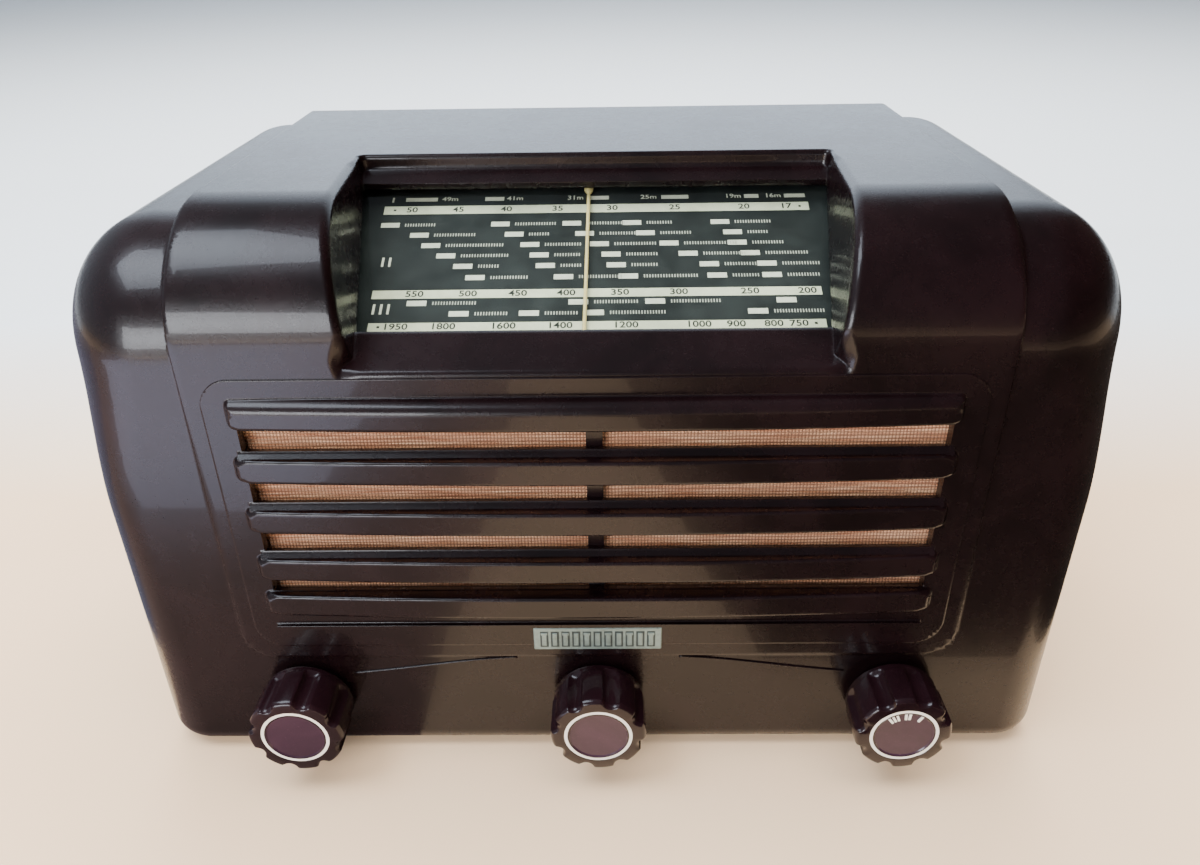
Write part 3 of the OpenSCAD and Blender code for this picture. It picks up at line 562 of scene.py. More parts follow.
def panel_shape(x, yf, zf):
    """The raised inner panel with its louvre bars."""
    ax = np.abs(x)
    half = (PANEL[2] - PANEL[1]) / 2
    mid = (PANEL[2] + PANEL[1]) / 2
    plate = rmax(rmax(ax - PANEL[0], np.abs(zf - mid) - half, 8.5), np.abs(yf - 0.2) - (PROUD + 0.6), 0.3)
    lip = np.maximum(np.maximum(ax - 97, np.abs(zf - 53.9) - 0.6), np.abs(yf + 1.0) - 1.7)
    plate = rmin(plate, lip, 0.5)
    plate = np.maximum(plate, -louvre_gap(ax, yf, zf))
    bow = -PROUD - 5.5 + ax * ax / 3800
    ends = ease((ax - BAR_HALF + 5) / 5)
    bars = np.full(np.broadcast(ax, yf, zf).shape, FAR)
    for i, z0 in enumerate(BARS):
        tall = BAR_H + (0.8 if i == 4 else 0)
        zc = z0 + tall / 2
        outline = rmax(np.abs(zf - zc) - tall / 2, ax - BAR_HALF + (0.9 if i == 4 else 0), 1.9)
        over = ease((zf - zc) / 2 + 0.5)
        r_top = 3.6 if i == 4 else 0.9
        r = (1.3 + (r_top - 1.3) * over) * (1 - ends) + 3.4 * ends
        bar = np.maximum(rmax(outline, bow - yf, r), yf - 0.6)
        bars = np.minimum(bars, bar)
        if i:
            bevel = (-yf - PROUD - 0.4 + zf - (z0 + tall + 1.5)) * 0.7071
            step = np.maximum(np.maximum(bevel, zf - (z0 + tall + 1.5)), np.maximum(z0 + tall - 0.4 - zf, yf))
            if i < 4:
                bars = np.minimum(bars, np.maximum(step, ax - SLOT_END - 1))
    return rmin(plate, bars, 0.5)


def lines(*runs):
    """Grid lines: (start, step) pairs and a last end."""
    out = [runs[0][0]]
    for (start, step), nxt in zip(runs[:-1], runs[1:]):
        stop = nxt[0] if isinstance(nxt, tuple) else nxt
        count = max(1, int(round((stop - start) / (step * COARSE))))
        out += list(start + (stop - start) * (k + 1) / count for k in range(count))
    return np.array(out)


COARSE = 1.0


def gradient(shape, p, e=0.02):
    """Unit outward directions at points, from differences a distance e to each side."""
    g = np.empty_like(p)
    for k in range(3):
        a, b = p.copy(), p.copy()
        a[:, k] += e
        b[:, k] -= e
        g[:, k] = shape(*a.T) - shape(*b.T)
    return g / np.maximum(np.linalg.norm(g, axis=1, keepdims=True), 1e-9)


def contour(shape, gx, gy, gz):
    """Dual contouring of a shape that is symmetric in x. gx starts with a cell that straddles x = 0."""
    f = shape(gx[:, None, None], gy[None, :, None], gz[None, None, :])
    grid = (gx, gy, gz)
    dims = np.array(f.shape) - 1
    cells_n = int(np.prod(dims))
    sums = np.zeros((cells_n, 13))
    quads = []
    for axis in range(3):
        a = [slice(None)] * 3
        b = [slice(None)] * 3
        a[axis], b[axis] = slice(0, -1), slice(1, None)
        fa, fb = f[tuple(a)], f[tuple(b)]
        idx = np.argwhere((fa < 0) != (fb < 0))
        if not len(idx):
            continue
        va, vb = fa[tuple(idx.T)], fb[tuple(idx.T)]
        p = np.stack([grid[k][idx[:, k]] for k in range(3)], 1)
        lo = p[:, axis].copy()
        hi = grid[axis][idx[:, axis] + 1]
        la, lb = lo.copy(), hi.copy()
        ya, yb = va.copy(), vb.copy()
        for _ in range(4):
            m = la + (lb - la) * np.clip(ya / (ya - yb), 0.05, 0.95)
            p[:, axis] = m
            y = shape(*p.T)
            same = (y < 0) == (ya < 0)
            la, ya = np.where(same, m, la), np.where(same, y, ya)
            lb, yb = np.where(same, lb, m), np.where(same, yb, y)
        p[:, axis] = la + (lb - la) * ya / (ya - yb)
        n = gradient(shape, p)
        others = [k for k in range(3) if k != axis]
        corner = []
        for du, dv in ((0, 0), (-1, 0), (-1, -1), (0, -1)):
            c = idx.copy()
            c[:, others[0]] += du
            c[:, others[1]] += dv
            corner.append(c)
        keep = np.ones(len(idx), bool)
        for c in corner:
            keep &= ((c >= 0) & (c < dims)).all(1)
        if axis != 0:
            keep &= idx[:, 0] >= 1
        ids = [np.ravel_multi_index(c[keep].T, dims) for c in corner]
        nn, pp = n[keep], p[keep]
        off = (nn * pp).sum(1)
        cols = [nn[:, 0] ** 2, nn[:, 0] * nn[:, 1], nn[:, 0] * nn[:, 2], nn[:, 1] ** 2, nn[:, 1] * nn[:, 2],
                nn[:, 2] ** 2, nn[:, 0] * off, nn[:, 1] * off, nn[:, 2] * off, pp[:, 0], pp[:, 1], pp[:, 2],
                np.ones(len(pp))]
        for c in ids:
            for k, col in enumerate(cols):
                sums[:, k] += np.bincount(c, weights=col, minlength=cells_n)
        q = np.stack(ids, 1)
        flip = (va[keep] < 0) == (axis == 1)
        q[flip] = q[flip][:, ::-1]
        quads.append(q)
    quads = np.concatenate(quads)
    used, inverse = np.unique(quads, return_inverse=True)
    quads = inverse.reshape(quads.shape)
    t = sums[used]
    mass = t[:, 9:12] / t[:, 12:13]
    ata = np.empty((len(t), 3, 3))
    for k, (i, j) in enumerate(((0, 0), (0, 1), (0, 2), (1, 1), (1, 2), (2, 2))):
        ata[:, i, j] = ata[:, j, i] = t[:, k]
    rhs = t[:, 6:9] - np.einsum("nij,nj->ni", ata, mass)
    ata += np.eye(3) * 0.06
    v = mass + np.linalg.solve(ata, rhs[..., None])[..., 0]
    cell = np.stack(np.unravel_index(used, dims), 1)
    for k in range(3):
        v[:, k] = np.clip(v[:, k], grid[k][cell[:, k]], grid[k][cell[:, k] + 1])
    middle = cell[:, 0] == 0
    v[middle, 0] = 0
    return v, quads, middle


def mirrored(v, quads, middle):
    """Adds the left half of a contour."""
    other = np.arange(len(v))
    fresh = ~middle
    other[fresh] = len(v) + np.arange(fresh.sum())
    w = v[fresh].copy()
    w[:, 0] *= -1
    return np.vstack([v, w]), np.vstack([quads, other[quads][:, ::-1]])


def corner_normals(shape, v, quads):
    """Normals at each face's corners, taken a little inside the face so that edges stay crisp."""
    centre = v[quads].mean(1)
    out = np.empty((len(quads) * 4, 3))
    for k in range(4):
        p = v[quads[:, k]] * 0.72 + centre * 0.28
        out[k::4] = gradient(shape, p, 0.05)
    return out


def turn_normals(n):
    """Face-frame directions to x, y, z."""
    return np.stack([n[:, 0], n[:, 1] * CL + n[:, 2] * SL, -n[:, 1] * SL + n[:, 2] * CL], 1)


def both_halves(shape, gx, gy, gz):
    """Points, quads and corner normals of a symmetric shape."""
    v, quads = mirrored(*contour(shape, gx, gy, gz))
    return v, quads, corner_normals(shape, v, quads)


body_v, body_quads, body_normals = both_halves(
    body_shape,
    lines((-0.75, 1.5), (0.75, 2.6), (60, 0.7), (77, 2.2), (86, 1.3), (100, 2), (108.5, 0.8), (113.5, 2.0),
          (126, 1.8), 146.5),
    lines((-3.5, 0.7), (5, 1.6), (72, 0.9), (80, 2.6), (146, 1.1), 157.5),
    lines((-0.4, 1.0), (12, 2.2), (37, 0.9), (44, 2.0), (58, 2.8), (131, 0.9), (151, 1.3), 182.6))
panel_v, panel_quads, panel_normals = both_halves(
    panel_shape,
    lines((-0.75, 1.5), (0.75, 0.55), (3.5, 2.4), (94, 0.45), (100, 1.0), (103, 0.5), 106),
    lines((-7.4, 0.45), (-0.6, 0.7), 2.9),
    lines((45, 0.35), (47, 1.1), (52.8, 0.35), (54.8, 0.9), (59, 0.5), (132, 0.7), (134.6, 0.35), 136.3))

quads = np.vstack([body_quads, panel_quads + len(body_v)])
normals = turn_normals(np.vstack([body_normals, panel_normals]))
points = np.stack(from_face(*np.vstack([body_v, panel_v]).T), 1)

# raised hairlines beside the badge, as part of the same moulding
hair = Parts()
for side in (-1, 1):
    run = [(side * x, 0.0, z) for x, z in ((25.2, 39.6), (38, 38.5), (50, 36.9), (64, 34.9), (77, 33.3))]
    hair.tube([from_face(p.x, -0.05, p.z) for p in bezier(run, 8)], 0.42, 8)
base = len(points)
points = np.vstack([points, np.array(hair.points)])
faces = [tuple(q) for q in quads] + [tuple(base + i for i in f) for f in hair.faces]
cab = bpy.data.meshes.new("cabinet_moulding")
cab.from_pydata([tuple(p) for p in points * MM], [], [tuple(int(i) for i in f) for f in faces])
cab.materials.append(M["bakelite"])
cab.polygons.foreach_set("use_smooth", np.ones(len(cab.polygons), bool))
cab.update()
loops = np.zeros((len(cab.loops), 3))
loops[:len(normals)] = normals
cab.normals_split_custom_set([tuple(n) for n in loops])
moulding = link(bpy.data.objects.new("cabinet_moulding", cab))
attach(moulding, "case")
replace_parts(moulding, "cabinet")

# ---- knobs ----


FLUTES, FLUTE_TURN = 8, math.radians(74)
RING_ROW, DISC_ROW = 17, 20    # rows of the knob's profile where the painted ring and the disc start


def knob(name, cx, body, node):
    """Eight-lobed knob with a round rear rim, a painted ring and a slightly sunken disc."""
    lo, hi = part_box(node)
    front, rear = lo.y * 1000, hi.y * 1000
    outer_r, rim_r, flute_r, n = 14.5, 14.1, 3.0, 256
    theta = np.arange(n) * 2 * math.pi / n
    away = (theta - FLUTE_TURN + math.pi / FLUTES) % (2 * math.pi / FLUTES) - math.pi / FLUTES
    reach = outer_r + 1.3
    root = flute_r ** 2 - (reach * np.sin(away)) ** 2
    flute = np.where(root > 0, reach * np.cos(away) - np.sqrt(np.maximum(root, 0)), outer_r + 2)
    soft = 0.7
    blend = np.clip(0.5 + 0.5 * (flute - outer_r) / soft, 0, 1)
    lobed = flute * (1 - blend) + outer_r * blend - soft * blend * (1 - blend)
    # (y, share of the lobed outline, radius when round or depth below the lobes)
    rows = [(rear - 13, 0, 0), (rear - 13, 0, 3.06), (rear, 0, 3.06), (rear, 0, rim_r - 0.5),
            (rear - 0.15, 0, rim_r - 0.15), (rear - 0.5, 0, rim_r), (rear - 1.5, 0, rim_r),
            (rear - 1.7, 0.12, 0.0), (rear - 2.1, 0.45, 0.0), (rear - 2.7, 0.85, 0.0), (rear - 3.4, 1, 0.0),
            (front + 1.5, 1, 0.0), (front + 1.0, 1, 0.12), (front + 0.45, 1, 0.5), (front + 0.15, 1, 0.85),
            (front, 1, 1.25), (front, 0, 10.45), (front + 0.12, 0, 10.32), (front + 0.12, 0, 9.35),
            (front, 0, 9.22), (front + 0.05, 0, 8.95), (front + 0.4, 0, 8.6), (front + 0.45, 0, 8.2),
            (front + 0.38, 0, 0)]
    pts, faces, index = [], [], []
    for y, lobe, value in rows:
        if lobe:
            r = rim_r * (1 - lobe) + lobed * lobe - value
        else:
            r = np.full(n, max(value, 0.001))
        pts += [(cx + r[k] * math.cos(theta[k]), y, KNOB_Z + r[k] * math.sin(theta[k])) for k in range(n)]
    for row in range(len(rows) - 1):
        for k in range(n):
            m = (k + 1) % n
            faces.append((row * n + k, row * n + m, (row + 1) * n + m, (row + 1) * n + k))
            index.append(1 if row == RING_ROW else 2 if row >= DISC_ROW else 0)
    skins = [M["knob_bakelite"], M["white_paint"], M["knob_disc"]]
    obj = mesh_piece(name, pts, faces, skins, body, indices=index, angle=32)
    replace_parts(obj, node)
    return front


M["knob_disc"] = bakelite("knob_disc", (0.029, 0.0125, 0.024), 0.19, 0.3, 0.08)
for cx, body in ((-KNOB_X, "volume"), (0.0, "tuning"), (KNOB_X, "band")):
    knob_front = knob(body + "_knob_body", cx, body, body + "_knob")

# three groups of strokes inside the right knob's ring
MARK_IN, MARK_OUT, MARK_HALF, MARK_STEP = 6.6, 8.9, 0.34, 8.5
marks = Parts()


def on_knob(angle):
    """Turns a stroke that runs out along z to an angle round the right knob's centre."""
    c, q = math.cos(angle), math.sin(angle)
    return lambda x, y, z: (KNOB_X + z * c - x * q, y, KNOB_Z + z * q + x * c)


for group, count in ((-30, 3), (0, 2), (30, 1)):
    for k in range(count):
        a = math.radians(90 - group - (k - (count - 1) / 2) * MARK_STEP)
        marks.box((-MARK_HALF, knob_front + 0.02, MARK_IN), (MARK_HALF, knob_front + 0.42, MARK_OUT), 0, 0,
                  on_knob(a))
marks.piece("band_knob_marks", [M["white_paint"]], "band", smooth=False, angle=None)

# ---- badge: a worn plate with upright ribs, each second one a little wider at its top ----

RIB_STEP = 3.25
badge = Parts()
badge.box((-19.5, -PROUD - 1.25, 44.5), (19.5, -PROUD - 0.1, 52.8), 0.25, 0, from_face)
for k in range(-5, 6):
    x = k * RIB_STEP
    badge.box((x - 1.25, -PROUD - 1.33, 45.7), (x + 1.25, -PROUD - 1.0, 51.6), 0.0, 1, from_face)
    badge.box((x - 0.75, -PROUD - 1.55, 46.2), (x + 0.75, -PROUD - 1.2, 51.1), 0.15, 0, from_face)
    if k % 2:
        badge.box((x - 1.05, -PROUD - 1.5, 50.2), (x + 1.05, -PROUD - 1.2, 51.2), 0.12, 0, from_face)
plate = badge.piece("badge_plate", [M["badge_metal"], M["badge_dark"]], "case",
                    smooth=False, angle=None)
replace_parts(plate, "badge")

# ---- dial print ----

PRINT_H = -7.36    # height of the print off the recess floor
INKS = ("print_cream", "print_pale", "print_black", "print_dim", "scale_print")
CREAM, PALE, BLACK, DIM, MASK = range(len(INKS))
TICK_STEP, TICK_W, TICK_HALF = 0.81, 0.36, 0.65
ink = Parts()


def patch(x0, x1, s0, s1, index, lift=0.0):
    """A printed rectangle on the scale."""
    h = PRINT_H + lift
    ink.add([from_dial(x0, s0, h), from_dial(x1, s0, h), from_dial(x1, s1, h), from_dial(x0, s1, h)],
            [(0, 1, 2, 3)], index)


# bands behind the numbers, and dashes beside the wavelengths
for x0, x1, s0, s1 in ((-65.8, 66.6, 68.6, 72.3), (-64.3, 65.6, 32.6, 35.9), (-63.7, 65.2, 20.1, 23.2)):
    patch(x0, x1, s0, s1, CREAM)
for x0, x1 in ((-59.5, -49.5), (-34.5, -28.5), (-2, 4.5), (21, 29.5), (47, 51.5), (59.5, 66)):
    patch(x0, x1, 74.5, 76.2, PALE)

# rows of dashes, each with a run of plain ticks: place up the slope, starts, pairs of ticks
ROWS = ((63.7, (-65.5, -31.5, -9.5, 9, 36), (6, 8, 8, 5, 7)),
        (59.1, (-56, -27, -5.5, 13, 39.5), (8, 4, 7, 6, 4)),
        (54.5, (-52, -22, -1, 20, 40.5), (11, 7, 8, 10, 6)),
        (50, (-47, -19, 2.5, 25.5, 44), (9, 5, 6, 8, 8)),
        (45.5, (-41.5, -17, 4, 31.5, 48.5), (4, 4, 5, 6, 7)),
        (40.8, (-37.5, -11.5, 7.5, 33.5, 49.5), (7, 8, 10, 5, 6)),
        (30.7, (-53.5, -7, 15, 52.5), (8, 8, 9, 0)),
        (26.5, (-41, -21, -2.5, 44), (6, 6, 10, 9)))
for s, starts, lengths in ROWS:
    for x, pairs in zip(starts, lengths):
        patch(x - 0.3, x + 5.4, s - 1.0, s + 1.05, PALE)
        for k in range(pairs * 2):
            at = x + 7.1 + k * TICK_STEP
            patch(at, at + TICK_W, s - TICK_HALF, s + TICK_HALF, DIM)

# band numerals at the left, as one, two and three strokes
patch(-63.8, -63.2, 74.2, 76.4, PALE)
for strokes, s0, s1 in ((2, 45.7, 49.5), (3, 26.6, 30.5)):
    for k in range(strokes):
        patch(-63.4 + k * 2.1, -62.7 + k * 2.1, s0, s1, PALE)

# dots at the ends of the bands, and the mask that hides the plate's rear edge
for x, s in ((-62.4, 70.5), (63.8, 70.4), (-60.8, 21.7), (62.3, 21.7)):
    patch(x - 0.4, x + 0.4, s - 0.4, s + 0.4, BLACK, 0.02)
patch(-78, 78, 78.9, 82.4, MASK, -0.05)
ink.piece("dial_print", [M[name] for name in INKS], "case", smooth=False, angle=None)


def figures(name, items, height, material, bold):
    """Numbers printed on the scale, as one flat mesh. Each item is (figure, x, place up the slope)."""
    verts, faces = [], []
    for text, x, s in items:
        curve = bpy.data.curves.new(name, "FONT")
        curve.body = text
        curve.size = height * 1.37
        curve.align_x, curve.align_y = "CENTER", "CENTER"
        curve.offset = bold
        curve.resolution_u = 3
        obj = link(bpy.data.objects.new(name, curve))
        bpy.context.view_layer.update()
        mesh = bpy.data.meshes.new_from_object(obj)
        base = len(verts)
        verts += [from_dial(x + v.co.x * 1.12, s + 0.1 + v.co.y, PRINT_H + 0.03) for v in mesh.vertices]
        faces += [tuple(base + i for i in p.vertices) for p in mesh.polygons]
        bpy.data.objects.remove(obj)
        bpy.data.curves.remove(curve)
        bpy.data.meshes.remove(mesh)
    return mesh_piece(name, verts, faces, [material], "case", smooth=False)


def row(values, places, s):
    """Numbers side by side at one place up the slope."""
    return [(str(v), x, s) for v, x in zip(values, places)]


figures("dial_numbers",
        row((50, 45, 40, 35, 30, 25, 20, 17), (-57, -42.5, -27.5, -11.5, 5.5, 25, 46.5, 59.5), 70.4)
        + row(range(550, 150, -50), (-52, -36.5, -22, -8, 7.5, 24.5, 45, 61.5), 34.2)
        + row((1950, 1800, 1600, 1400, 1200, 1000, 900, 800, 750),
              (-56, -42.5, -25.5, -9.5, 9, 29.5, 40, 50.5, 57.5), 21.6),
        2.35, M["print_black"], 0.055)
figures("dial_wavelengths",
        row(("49m", "41m", "31m", "25m", "19m", "16m"), (-45.5, -25, -6, 17, 43.5, 56), 75.3),
        1.9, M["print_pale"], 0.03)

# ---- pointer ----

needle = Parts()
needle.tube([from_dial(-2.6, 17.3, -5.95), from_dial(-2.15, 48, -5.9), from_dial(-1.75, 78, -5.9)], 0.55, 10)
needle.lathe(from_dial(-1.75, 79.6, -5.9), Vector(from_dial(0, 0, 0)) - Vector(from_dial(0, 1, 0)),
             [(0, 0), (0.1, 0.7), (0.6, 1.25), (1.5, 1.5), (2.6, 1.35), (3.6, 0.8), (4.2, 0.5), (4.3, 0)], 20)
lo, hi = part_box("pointer")
needle.box((-7, hi.y * 1000 - 4, hi.z * 1000 - 4), (3, hi.y * 1000, hi.z * 1000), 0.4, 1)
needle.box((-2.6, hi.y * 1000 - 7.8, hi.z * 1000 - 2.6), (-1, hi.y * 1000 - 3.8, hi.z * 1000 - 1.7), 0.2, 1)
pointer = needle.piece("pointer_needle", [M["pointer_cream"], M["black_metal"]], "pointer")
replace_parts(pointer, "pointer")

# ---- grille cloth ----

nx, nz = 160, 70
grid_x, grid_z = np.linspace(-99, 99, nx), np.linspace(44, 130, nz)
cloth_pts = [from_face(x, 3.62 + 0.05 * math.sin(x * 0.21 + z * 0.06) * math.sin(z * 0.33), z)
             for z in grid_z for x in grid_x]
cloth_faces = [(j * nx + i, j * nx + i + 1, (j + 1) * nx + i + 1, (j + 1) * nx + i)
               for j in range(nz - 1) for i in range(nx - 1)]
cloth = mesh_piece("grille_fabric", cloth_pts, cloth_faces, [M["grille_cloth"]], "case")
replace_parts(cloth, "grille_cloth")

# ---- valves ----


def valve(node):
    """A glass valve on its black base, with pins, electrode stack, mica discs, support wires and getter."""
    lo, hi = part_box(node)
    cx, cy = (lo.x + hi.x) * 500, (lo.y + hi.y) * 500
    base, top = 43.1, hi.z * 1000
    up = (0, 0, 1)
    v = Parts()
    shoulder = [(14.6 * math.cos(a), top - 10.2 + 10 * math.sin(a)) for a in np.linspace(0, math.pi / 2, 12)]
    glass = [(50.5, 12.6), (52.5, 14.2), (55, 14.6)] + [(z, r) for r, z in shoulder]
    v.lathe((cx, cy, 0), up, [(z, r) for z, r in glass[:-1]] + [(top - 0.2, 0)], 48, 0)
    v.lathe((cx, cy, 0), up, [(base, 0), (base, 13.4), (base + 0.8, 14.2), (base + 7.5, 14.2),
                              (base + 8.6, 13.6), (base + 8.9, 12.8)], 48, 1)
    for k in range(8):
        a = k * math.pi / 4
        v.lathe((cx + 7.5 * math.cos(a), cy + 7.5 * math.sin(a), 35), up,
                [(0, 0), (0, 0.45), (0.4, 0.6), (9, 0.6)], 10, 2)
    v.lathe((cx, cy, 0), up, [(54, 0), (54, 7.6), (54.4, 8), (top - 19.5, 8), (top - 19, 7.6),
                              (top - 19, 0)], 40, 3)
    for z in (52.6, top - 18.4):
        v.lathe((cx, cy, z), up, [(0, 0), (0, 10.8), (0.5, 10.8), (0.5, 0)], 40, 4)
    for k in range(4):
        a = k * math.pi / 2 + 0.6
        c, q = math.cos(a), math.sin(a)
        v.tube([(cx + 5 * c, cy + 5 * q, 47), (cx + 8.8 * c, cy + 8.8 * q, 53),
                (cx + 8.8 * c, cy + 8.8 * q, top - 18)], 0.4, 6, 2)
    v.lathe((cx, cy, top - 16), up, [(0, 3.6), (0.5, 4.2), (1.6, 4.2), (1.6, 3.4), (0.4, 3.2)], 24, 2,
            closed=True)
    cap = [(top - 0.55 - 9.6 * (1 - math.cos(a)), 13.9 * math.sin(a)) for a in np.linspace(0.02, 0.75, 8)]
    v.lathe((cx, cy, 0), up, [(z, r) for z, r in cap], 40, 5)
    skins = [M[k] for k in ("valve_glass", "black_metal", "bright_steel", "grey_paint", "mica", "getter")]
    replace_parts(v.piece(node + "_body", skins, "case"), node)


for name in ("mixer_valve", "if_valve", "output_valve", "rectifier_valve"):
    valve(name)

# ---- screws, feet and socket liners ----


def slotted(parts, at, axis, r, tall, turn):
    """A domed screw head with a dark slot across it."""
    axis = Vector(axis)
    at = Vector(at)
    parts.lathe(at, axis, [(0, 0), (0, r), (tall * 0.35, r), (tall * 0.75, r * 0.8), (tall * 0.98, r * 0.4),
                           (tall, 0)], 28, 0)
    side = axis.orthogonal().normalized()
    side = Matrix.Rotation(turn, 3, axis) @ side
    other = axis.cross(side)

    def place(x, y, z):
        return tuple(at + side * x + other * y + axis * z)
    parts.box((-r * 0.86, -0.32, tall * 0.2), (r * 0.86, 0.32, tall * 0.78), 0, 1, place)
    parts.box((-r * 0.5, -0.32, tall * 0.5), (r * 0.5, 0.32, tall * 1.0), 0, 1, place)


screw_skins = [M["plated_steel"], M["black_metal"]]
screws = Parts()
lo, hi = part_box("back_screws")
back_face = hi.y * 1000
for i, (x, z) in enumerate(((-134, 12), (134, 12), (-128, 150), (128, 150))):
    slotted(screws, (x, back_face - 2.05, z), (0, 1, 0), 3.6, 2.0, 0.5 + i * 1.1)
    screws.lathe((x, back_face - 14.6, z), (0, 1, 0), [(0, 0), (0, 1.45), (12.7, 1.45)], 16, 0)
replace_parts(screws.piece("back_screw_heads", screw_skins, "case"), "back_screws")
screws = Parts()
for i, (x, d) in enumerate(((-118, 34), (118, 34), (-118, 122), (118, 122))):
    slotted(screws, (x, FACE_Y + d, 3.0), (0, 0, -1), 4.2, 2.25, 0.3 + i * 0.9)
    screws.lathe((x, FACE_Y + d, 2.9), (0, 0, 1), [(0, 2), (11, 2), (11, 0)], 16, 0)
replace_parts(screws.piece("chassis_screw_heads", screw_skins, "case"), "chassis_screws")
feet = Parts()
for x in (-122, 122):
    for d in (19, 138):
        feet.lathe((x, FACE_Y + d, 0), (0, 0, 1),
                   [(0, 0), (0, 6.2), (0.25, 6.8), (0.7, 7), (1.48, 7), (1.48, 0)], 32)
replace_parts(feet.piece("rubber_feet", [M["rubber"]], "case"), "feet")
liners = Parts()
lo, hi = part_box("socket_strip")
for x in (-66, -50, -34, -18):
    liners.lathe((x, hi.y * 1000, 30), (0, -1, 0),
                 [(-0.02, 2.02), (-0.25, 2.2), (-0.25, 2.9), (0.1, 3.0), (9.6, 3.0), (9.6, 2.02)],
                 28, 0, closed=True)
liners.piece("socket_liners", [M["brass"]], "case")

# ---- camera, light and floor ----

CAMERA_BEFORE, CAMERA_RIGHT, CAMERA_UP = 0.2079, 0.0049, 0.2395    # metres from the foot of the front face
pitch, yaw, roll = 0.5196, -0.0154, -0.0159
cam = link(bpy.data.objects.new("camera", bpy.data.cameras.new("camera")))
cam.data.sensor_width = 36
cam.data.lens = 27.007
cam.data.clip_start, cam.data.clip_end = 0.01, 20
cam.location = (CAMERA_RIGHT, FACE_Y * MM - CAMERA_BEFORE, CAMERA_UP)
ahead = Vector((math.sin(yaw) * math.cos(pitch), math.cos(yaw) * math.cos(pitch), -math.sin(pitch)))
right = Vector((math.cos(yaw), -math.sin(yaw), 0))
up = right.cross(ahead)
across = right * math.cos(roll) + up * math.sin(roll)
upward = up * math.cos(roll) - right * math.sin(roll)
turn = Matrix((across, upward, -ahead)).transposed()
cam.rotation_mode = "QUATERNION"
cam.rotation_quaternion = turn.to_quaternion()
bpy.context.scene.camera = cam

world = bpy.data.worlds.new("studio")
world.use_nodes = True
bpy.context.scene.world = world
tree = world.node_tree
split = tree.nodes.new("ShaderNodeSeparateXYZ")
tree.links.new(tree.nodes.new("ShaderNodeTexCoord").outputs["Generated"], split.inputs[0])


def sky_math(op, a, b):
    node = tree.nodes.new("ShaderNodeMath")
    node.operation = op
    for socket, value in zip(node.inputs, (a, b)):
        if isinstance(value, float):
            socket.default_value = value
        else:
            tree.links.new(value, socket)
    return node.outputs[0]


def sky_ramp(fac, *stops):
    node = tree.nodes.new("ShaderNodeValToRGB")
    for element, (place, colour) in zip(node.color_ramp.elements, stops):
        element.position, element.color = place, (*colour, 1)
    tree.links.new(fac, node.inputs[0])
    return node.outputs[0]


WALL_GLOW, GLOW_Y, GLOW_Z = 2.3, 0.96, 0.28    # brightness and direction of the bright wall behind
behind = sky_math("ADD", sky_math("MULTIPLY", split.outputs[1], GLOW_Y),
                  sky_math("MULTIPLY", split.outputs[2], GLOW_Z))
glow = sky_ramp(behind, (0.78, (0.0, 0.0, 0.0)), (0.95, (0.74, 0.86, 1.0)))
sideways = sky_math("ADD", sky_math("MULTIPLY", split.outputs[0], -0.5), 0.5)
room = sky_ramp(sideways, (0.2, (0.05, 0.036, 0.028)), (0.95, (0.40, 0.45, 0.52)))
mix = tree.nodes.new("ShaderNodeMix")
mix.data_type, mix.blend_type = "RGBA", "ADD"
mix.inputs[0].default_value = WALL_GLOW
mix.clamp_factor = False
tree.links.new(room, mix.inputs[6])
tree.links.new(glow, mix.inputs[7])
back = tree.nodes["Background"]
tree.links.new(mix.outputs[2], back.inputs[0])
back.inputs[1].default_value = 1.0


def area(name, place, aim, size, power, colour, glossy=True):
    """A soft rectangular light, out of the camera's sight; glossy=False keeps it out of reflections too."""
    light = bpy.data.lights.new(name, "AREA")
    light.shape = "RECTANGLE"
    light.size, light.size_y = size
    light.energy = power
    light.color = colour
    obj = link(bpy.data.objects.new(name, light))
    obj.location = place
    obj.rotation_euler = (Vector(aim) - Vector(place)).to_track_quat("-Z", "Y").to_euler()
    obj.visible_camera = False
    obj.visible_glossy = glossy


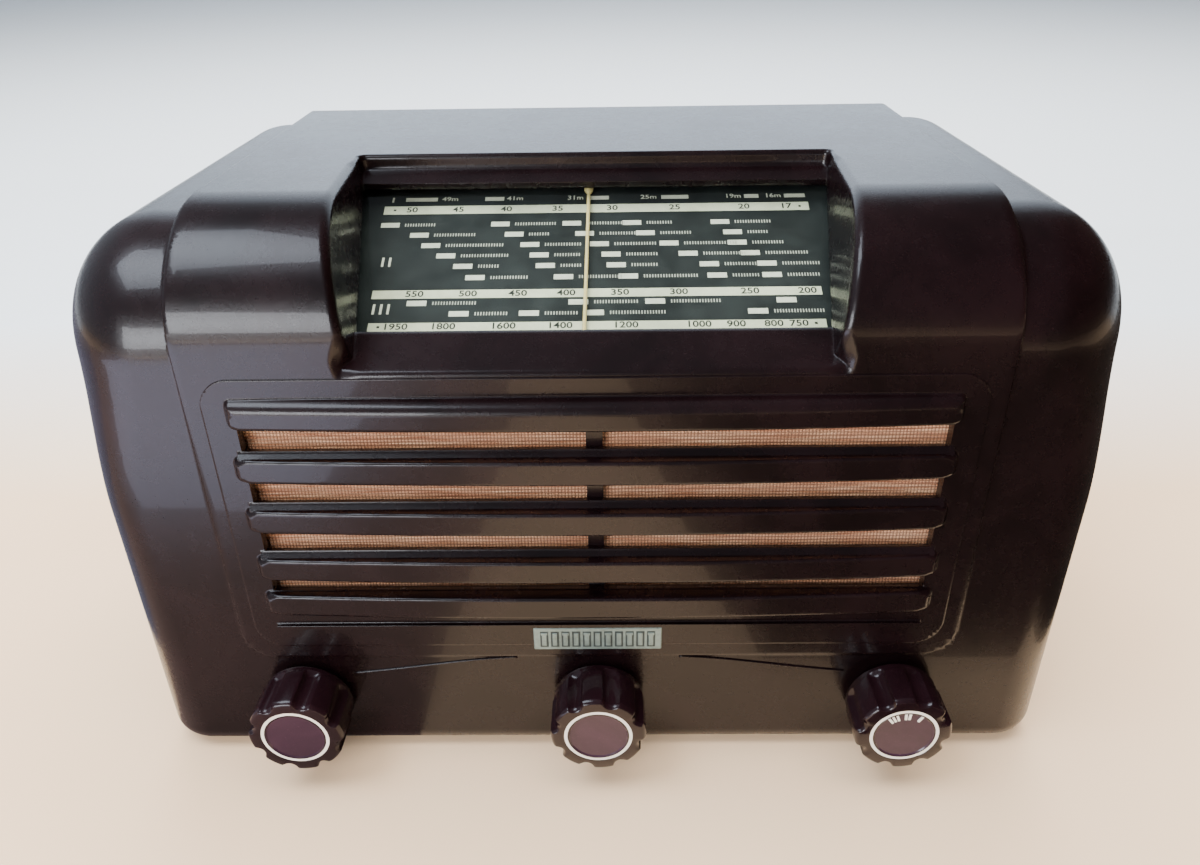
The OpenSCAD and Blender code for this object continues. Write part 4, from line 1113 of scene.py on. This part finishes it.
area("window", (-0.66, -0.30, 1.22), (-0.08, -0.05, 0.12), (0.7, 0.6), 12, (0.80, 0.88, 1.0))
area("low_window", (-0.60, -1.10, 0.30), (-0.03, -0.05, 0.1), (0.6, 0.36), 10, (0.92, 0.95, 1.0))
area("bounce", (-0.40, -0.42, 0.012), (-0.40, -0.40, 1.0), (0.50, 0.42), 2.9, (0.66, 0.74, 1.0))
area("sky_light", (0.0, 1.05, 1.25), (0, 0.1, 0), (1.6, 0.4), 20, (1.0, 0.98, 0.95), glossy=False)
area("matt_light", (0.0, 0.5, 2.1), (0, 0.5, 0), (2.6, 2.6), 130, (1.0, 0.95, 0.88), glossy=False)
area("front_light", (-0.3, -1.0, 0.75), (0, 0, 0.08), (0.9, 0.4), 13, (1.0, 0.94, 0.88), glossy=False)

# the floor is warm in front of the radio and turns to a cool white behind it
floor = Shader("floor")
cloud = floor.ramp(floor.noise(3, 4), (0.3, 0.0), (0.7, 1.0))
warm = floor.mix(cloud, (0.86, 0.61, 0.39), (0.94, 0.69, 0.46))
place = floor.node("ShaderNodeSeparateXYZ")
floor.join(floor.coords, place.inputs[0])
pale = floor.ramp(place.outputs[1], (0.08, 0.0), (0.30, 1.0))
floor.set("Base Color", floor.mix(pale, warm, (0.84, 0.92, 1.0)))
floor.set("Roughness", floor.ramp(floor.noise(30, 4), (0.3, 0.5), (0.7, 0.6)))
ground = Parts()
ground.add([(-4000, -3000, 0), (4000, -3000, 0), (4000, 4000, 0), (-4000, 4000, 0)], [(0, 1, 2, 3)])
ground.piece("floor", [floor.mat], body=None, smooth=False, angle=None)


def card(name, outline, colour):
    """A flat card on the floor that only the gloss of the moulding sees."""
    sheet = Parts()
    sheet.add([(x, y, 2) for x, y in outline], [tuple(range(len(outline)))])
    obj = sheet.piece(name, [plain(name, colour, 0.9)], body=None, smooth=False, angle=None)
    obj.visible_camera = obj.visible_diffuse = obj.visible_shadow = obj.visible_transmission = False


# painted shade in reflections: the dark card and the shade card stand for floor in shade, which the
# moulding's gloss sees in place of the lit floor
card("dark_card", [(-60, -800), (900, -800), (900, 500), (190, 500), (190, -110), (60, -110)],
     (0.02, 0.014, 0.01))
card("table_card", [(-1000, -800), (-60, -800), (-60, -60), (-1000, -60)], (0.25, 0.17, 0.145))
card("shade_card", [(-190, -60), (-190, 700), (-1000, 700), (-1000, -60)], (0.10, 0.10, 0.14))
